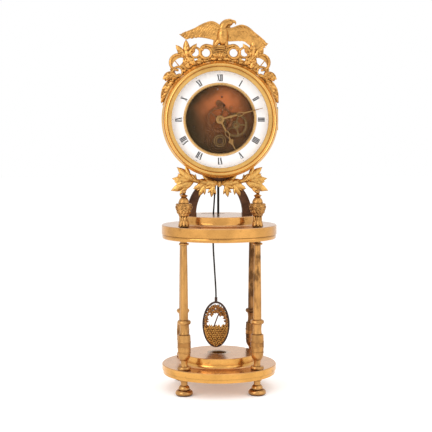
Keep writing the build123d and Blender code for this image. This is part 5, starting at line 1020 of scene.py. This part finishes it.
def sleeve_r(z):
    """The radius of a column's swelling sleeve at a height."""
    return SLEEVE_R + SLEEVE_SWELL * max(0.0, 1.0 - ((z - SLEEVE_MID_Z) / SLEEVE_HALF) ** 2)


for name, x, y, coat in (("front_left", -POST, -POST, "gilt_column"), ("back_left", -POST, POST, "gilt_column"),
                         ("front_right", POST, -POST, "gilt_stained"), ("back_right", POST, POST, "gilt_dark")):
    post = about_post(x, y)
    bm = bmesh.new()
    for at in BEAD_HEIGHTS:
        away = sleeve_r(at)
        turned(bm, [(away + proud, at + up) for proud, up in BEAD_LINE], post, 40)
    finish_piece("column_beads_" + name, bm, coat)
    bm = bmesh.new()
    for low, high in BANDS:
        away = sleeve_r((low + high) / 2) + 0.15 if high < NECK_Z else NECK_R
        turned(bm, [(away - 0.6, low), (away, low + 0.15), (away, high - 0.15), (away - 0.6, high)], post, 40)
    finish_piece("column_bands_" + name, bm, "gilt_band")


# Stage: floor, soft studio light, white surroundings and the camera

FLOOR_HALF = 6.0
# The floor's glow, seen by the eye and in reflections, by distance from the object, as shares of four metres; near the
# object it is painted light that lightens the object's shadow
FLOOR_FAR = 4.0
FLOOR_GLOW = ((0.0, 0.24), (0.05, 0.20), (0.15, 0.06), (0.4, 0.09), (0.7, 0.20))


def floor_coat():
    """A pale floor that shows as nearly white and keeps the object's shadow, lightened near the object by painted
    light.
    """
    tree, shader = material("floor")
    tree.nodes.remove(shader)
    tone = clouds(tree, place_of(tree), 3.0, 2.0)
    pale = ramp(tree, tone, [(0.3, (0.93, 0.915, 0.90)), (0.7, (0.95, 0.935, 0.925))])
    matt = node(tree, "BsdfDiffuse", Color=pale)
    away = node(tree, "VectorMath", {"operation": "LENGTH"}, Vector=place_of(tree)).outputs["Value"]
    # Painted light: the glow is strongest near the object, where it lightens the object's shadow.
    level = ramp(tree, span(tree, away, 0.0, FLOOR_FAR), [(at, (grey,) * 3) for at, grey in FLOOR_GLOW])
    glow = node(tree, "Emission", Color=pale, Strength=level)
    dark = node(tree, "Emission", Strength=0.0)
    both = wired(tree, "AddShader", None, matt.outputs[0], mixed_shaders(tree, seen_ray(tree), dark, glow))
    tree.links.new(both, tree.nodes["Material Output"].inputs[0])


floor_coat()
mesh = bpy.data.meshes.new("floor")
mesh.from_pydata([(x * FLOOR_HALF, y * FLOOR_HALF, 0) for x, y in ((-1, -1), (1, -1), (1, 1), (-1, 1))], [],
                 [(0, 1, 2, 3)])
mesh.materials.append(coats["floor"])
floor = bpy.data.objects.new("floor", mesh)
bpy.context.collection.objects.link(floor)

world = bpy.data.worlds.new("studio")
bpy.context.scene.world = world
world.use_nodes = True
sky = world.node_tree
sky.nodes.clear()
height_of = node(sky, "SeparateXYZ", Vector=node(sky, "TexCoord").outputs["Generated"]).outputs[2]
room = ramp(sky, span(sky, height_of, -0.3, 0.9), [(0.0, (0.80, 0.79, 0.78)), (1.0, (1.0, 1.0, 1.0))])
lamp_side = node(sky, "Background", Color=room, Strength=1.0)
white = node(sky, "Background", Color=(1, 1, 1, 1), Strength=1.0)
node(sky, "OutputWorld", Surface=mixed_shaders(sky, seen_ray(sky), lamp_side, white))

# Square soft lamps, aimed at the middle of the object: place, size and power
LAMPS = {"key": ((-1.05, -1.1, 0.75), 1.0, 8.0), "fill": ((1.1, -0.9, 0.7), 1.4, 4.0),
         "top": ((0.1, 0.3, 1.5), 1.6, 4.2)}
LIT_POINT = Vector((0.0, 0.0, 0.22))
for name, (at, size, power) in LAMPS.items():
    lamp = bpy.data.lights.new(name, "AREA")
    lamp.energy = power
    lamp.size = size
    softbox = bpy.data.objects.new(name, lamp)
    bpy.context.collection.objects.link(softbox)
    softbox.rotation_euler = (LIT_POINT - Vector(at)).to_track_quat("-Z", "Y").to_euler()
    softbox.location = at

CAMERA_AT = (-0.060939, -1.344941, 0.307506)
YAW = 0.0425376
PITCH = -0.0752600
SENSOR, FOCAL = 36.0, 94.6637
ahead = Vector((sin(YAW) * cos(PITCH), cos(YAW) * cos(PITCH), sin(PITCH)))
side_way = ahead.cross(Vector((0, 0, 1))).normalized()
up_way = side_way.cross(ahead)
turn = Matrix((side_way, up_way, -ahead)).transposed().to_4x4()
lens = bpy.data.cameras.new("camera")
lens.sensor_width = SENSOR
lens.lens = FOCAL
camera = bpy.data.objects.new("camera", lens)
bpy.context.collection.objects.link(camera)
camera.matrix_world = Matrix.Translation(CAMERA_AT) @ turn
bpy.context.scene.camera = camera
bpy.context.scene.view_settings.view_transform = "Standard"
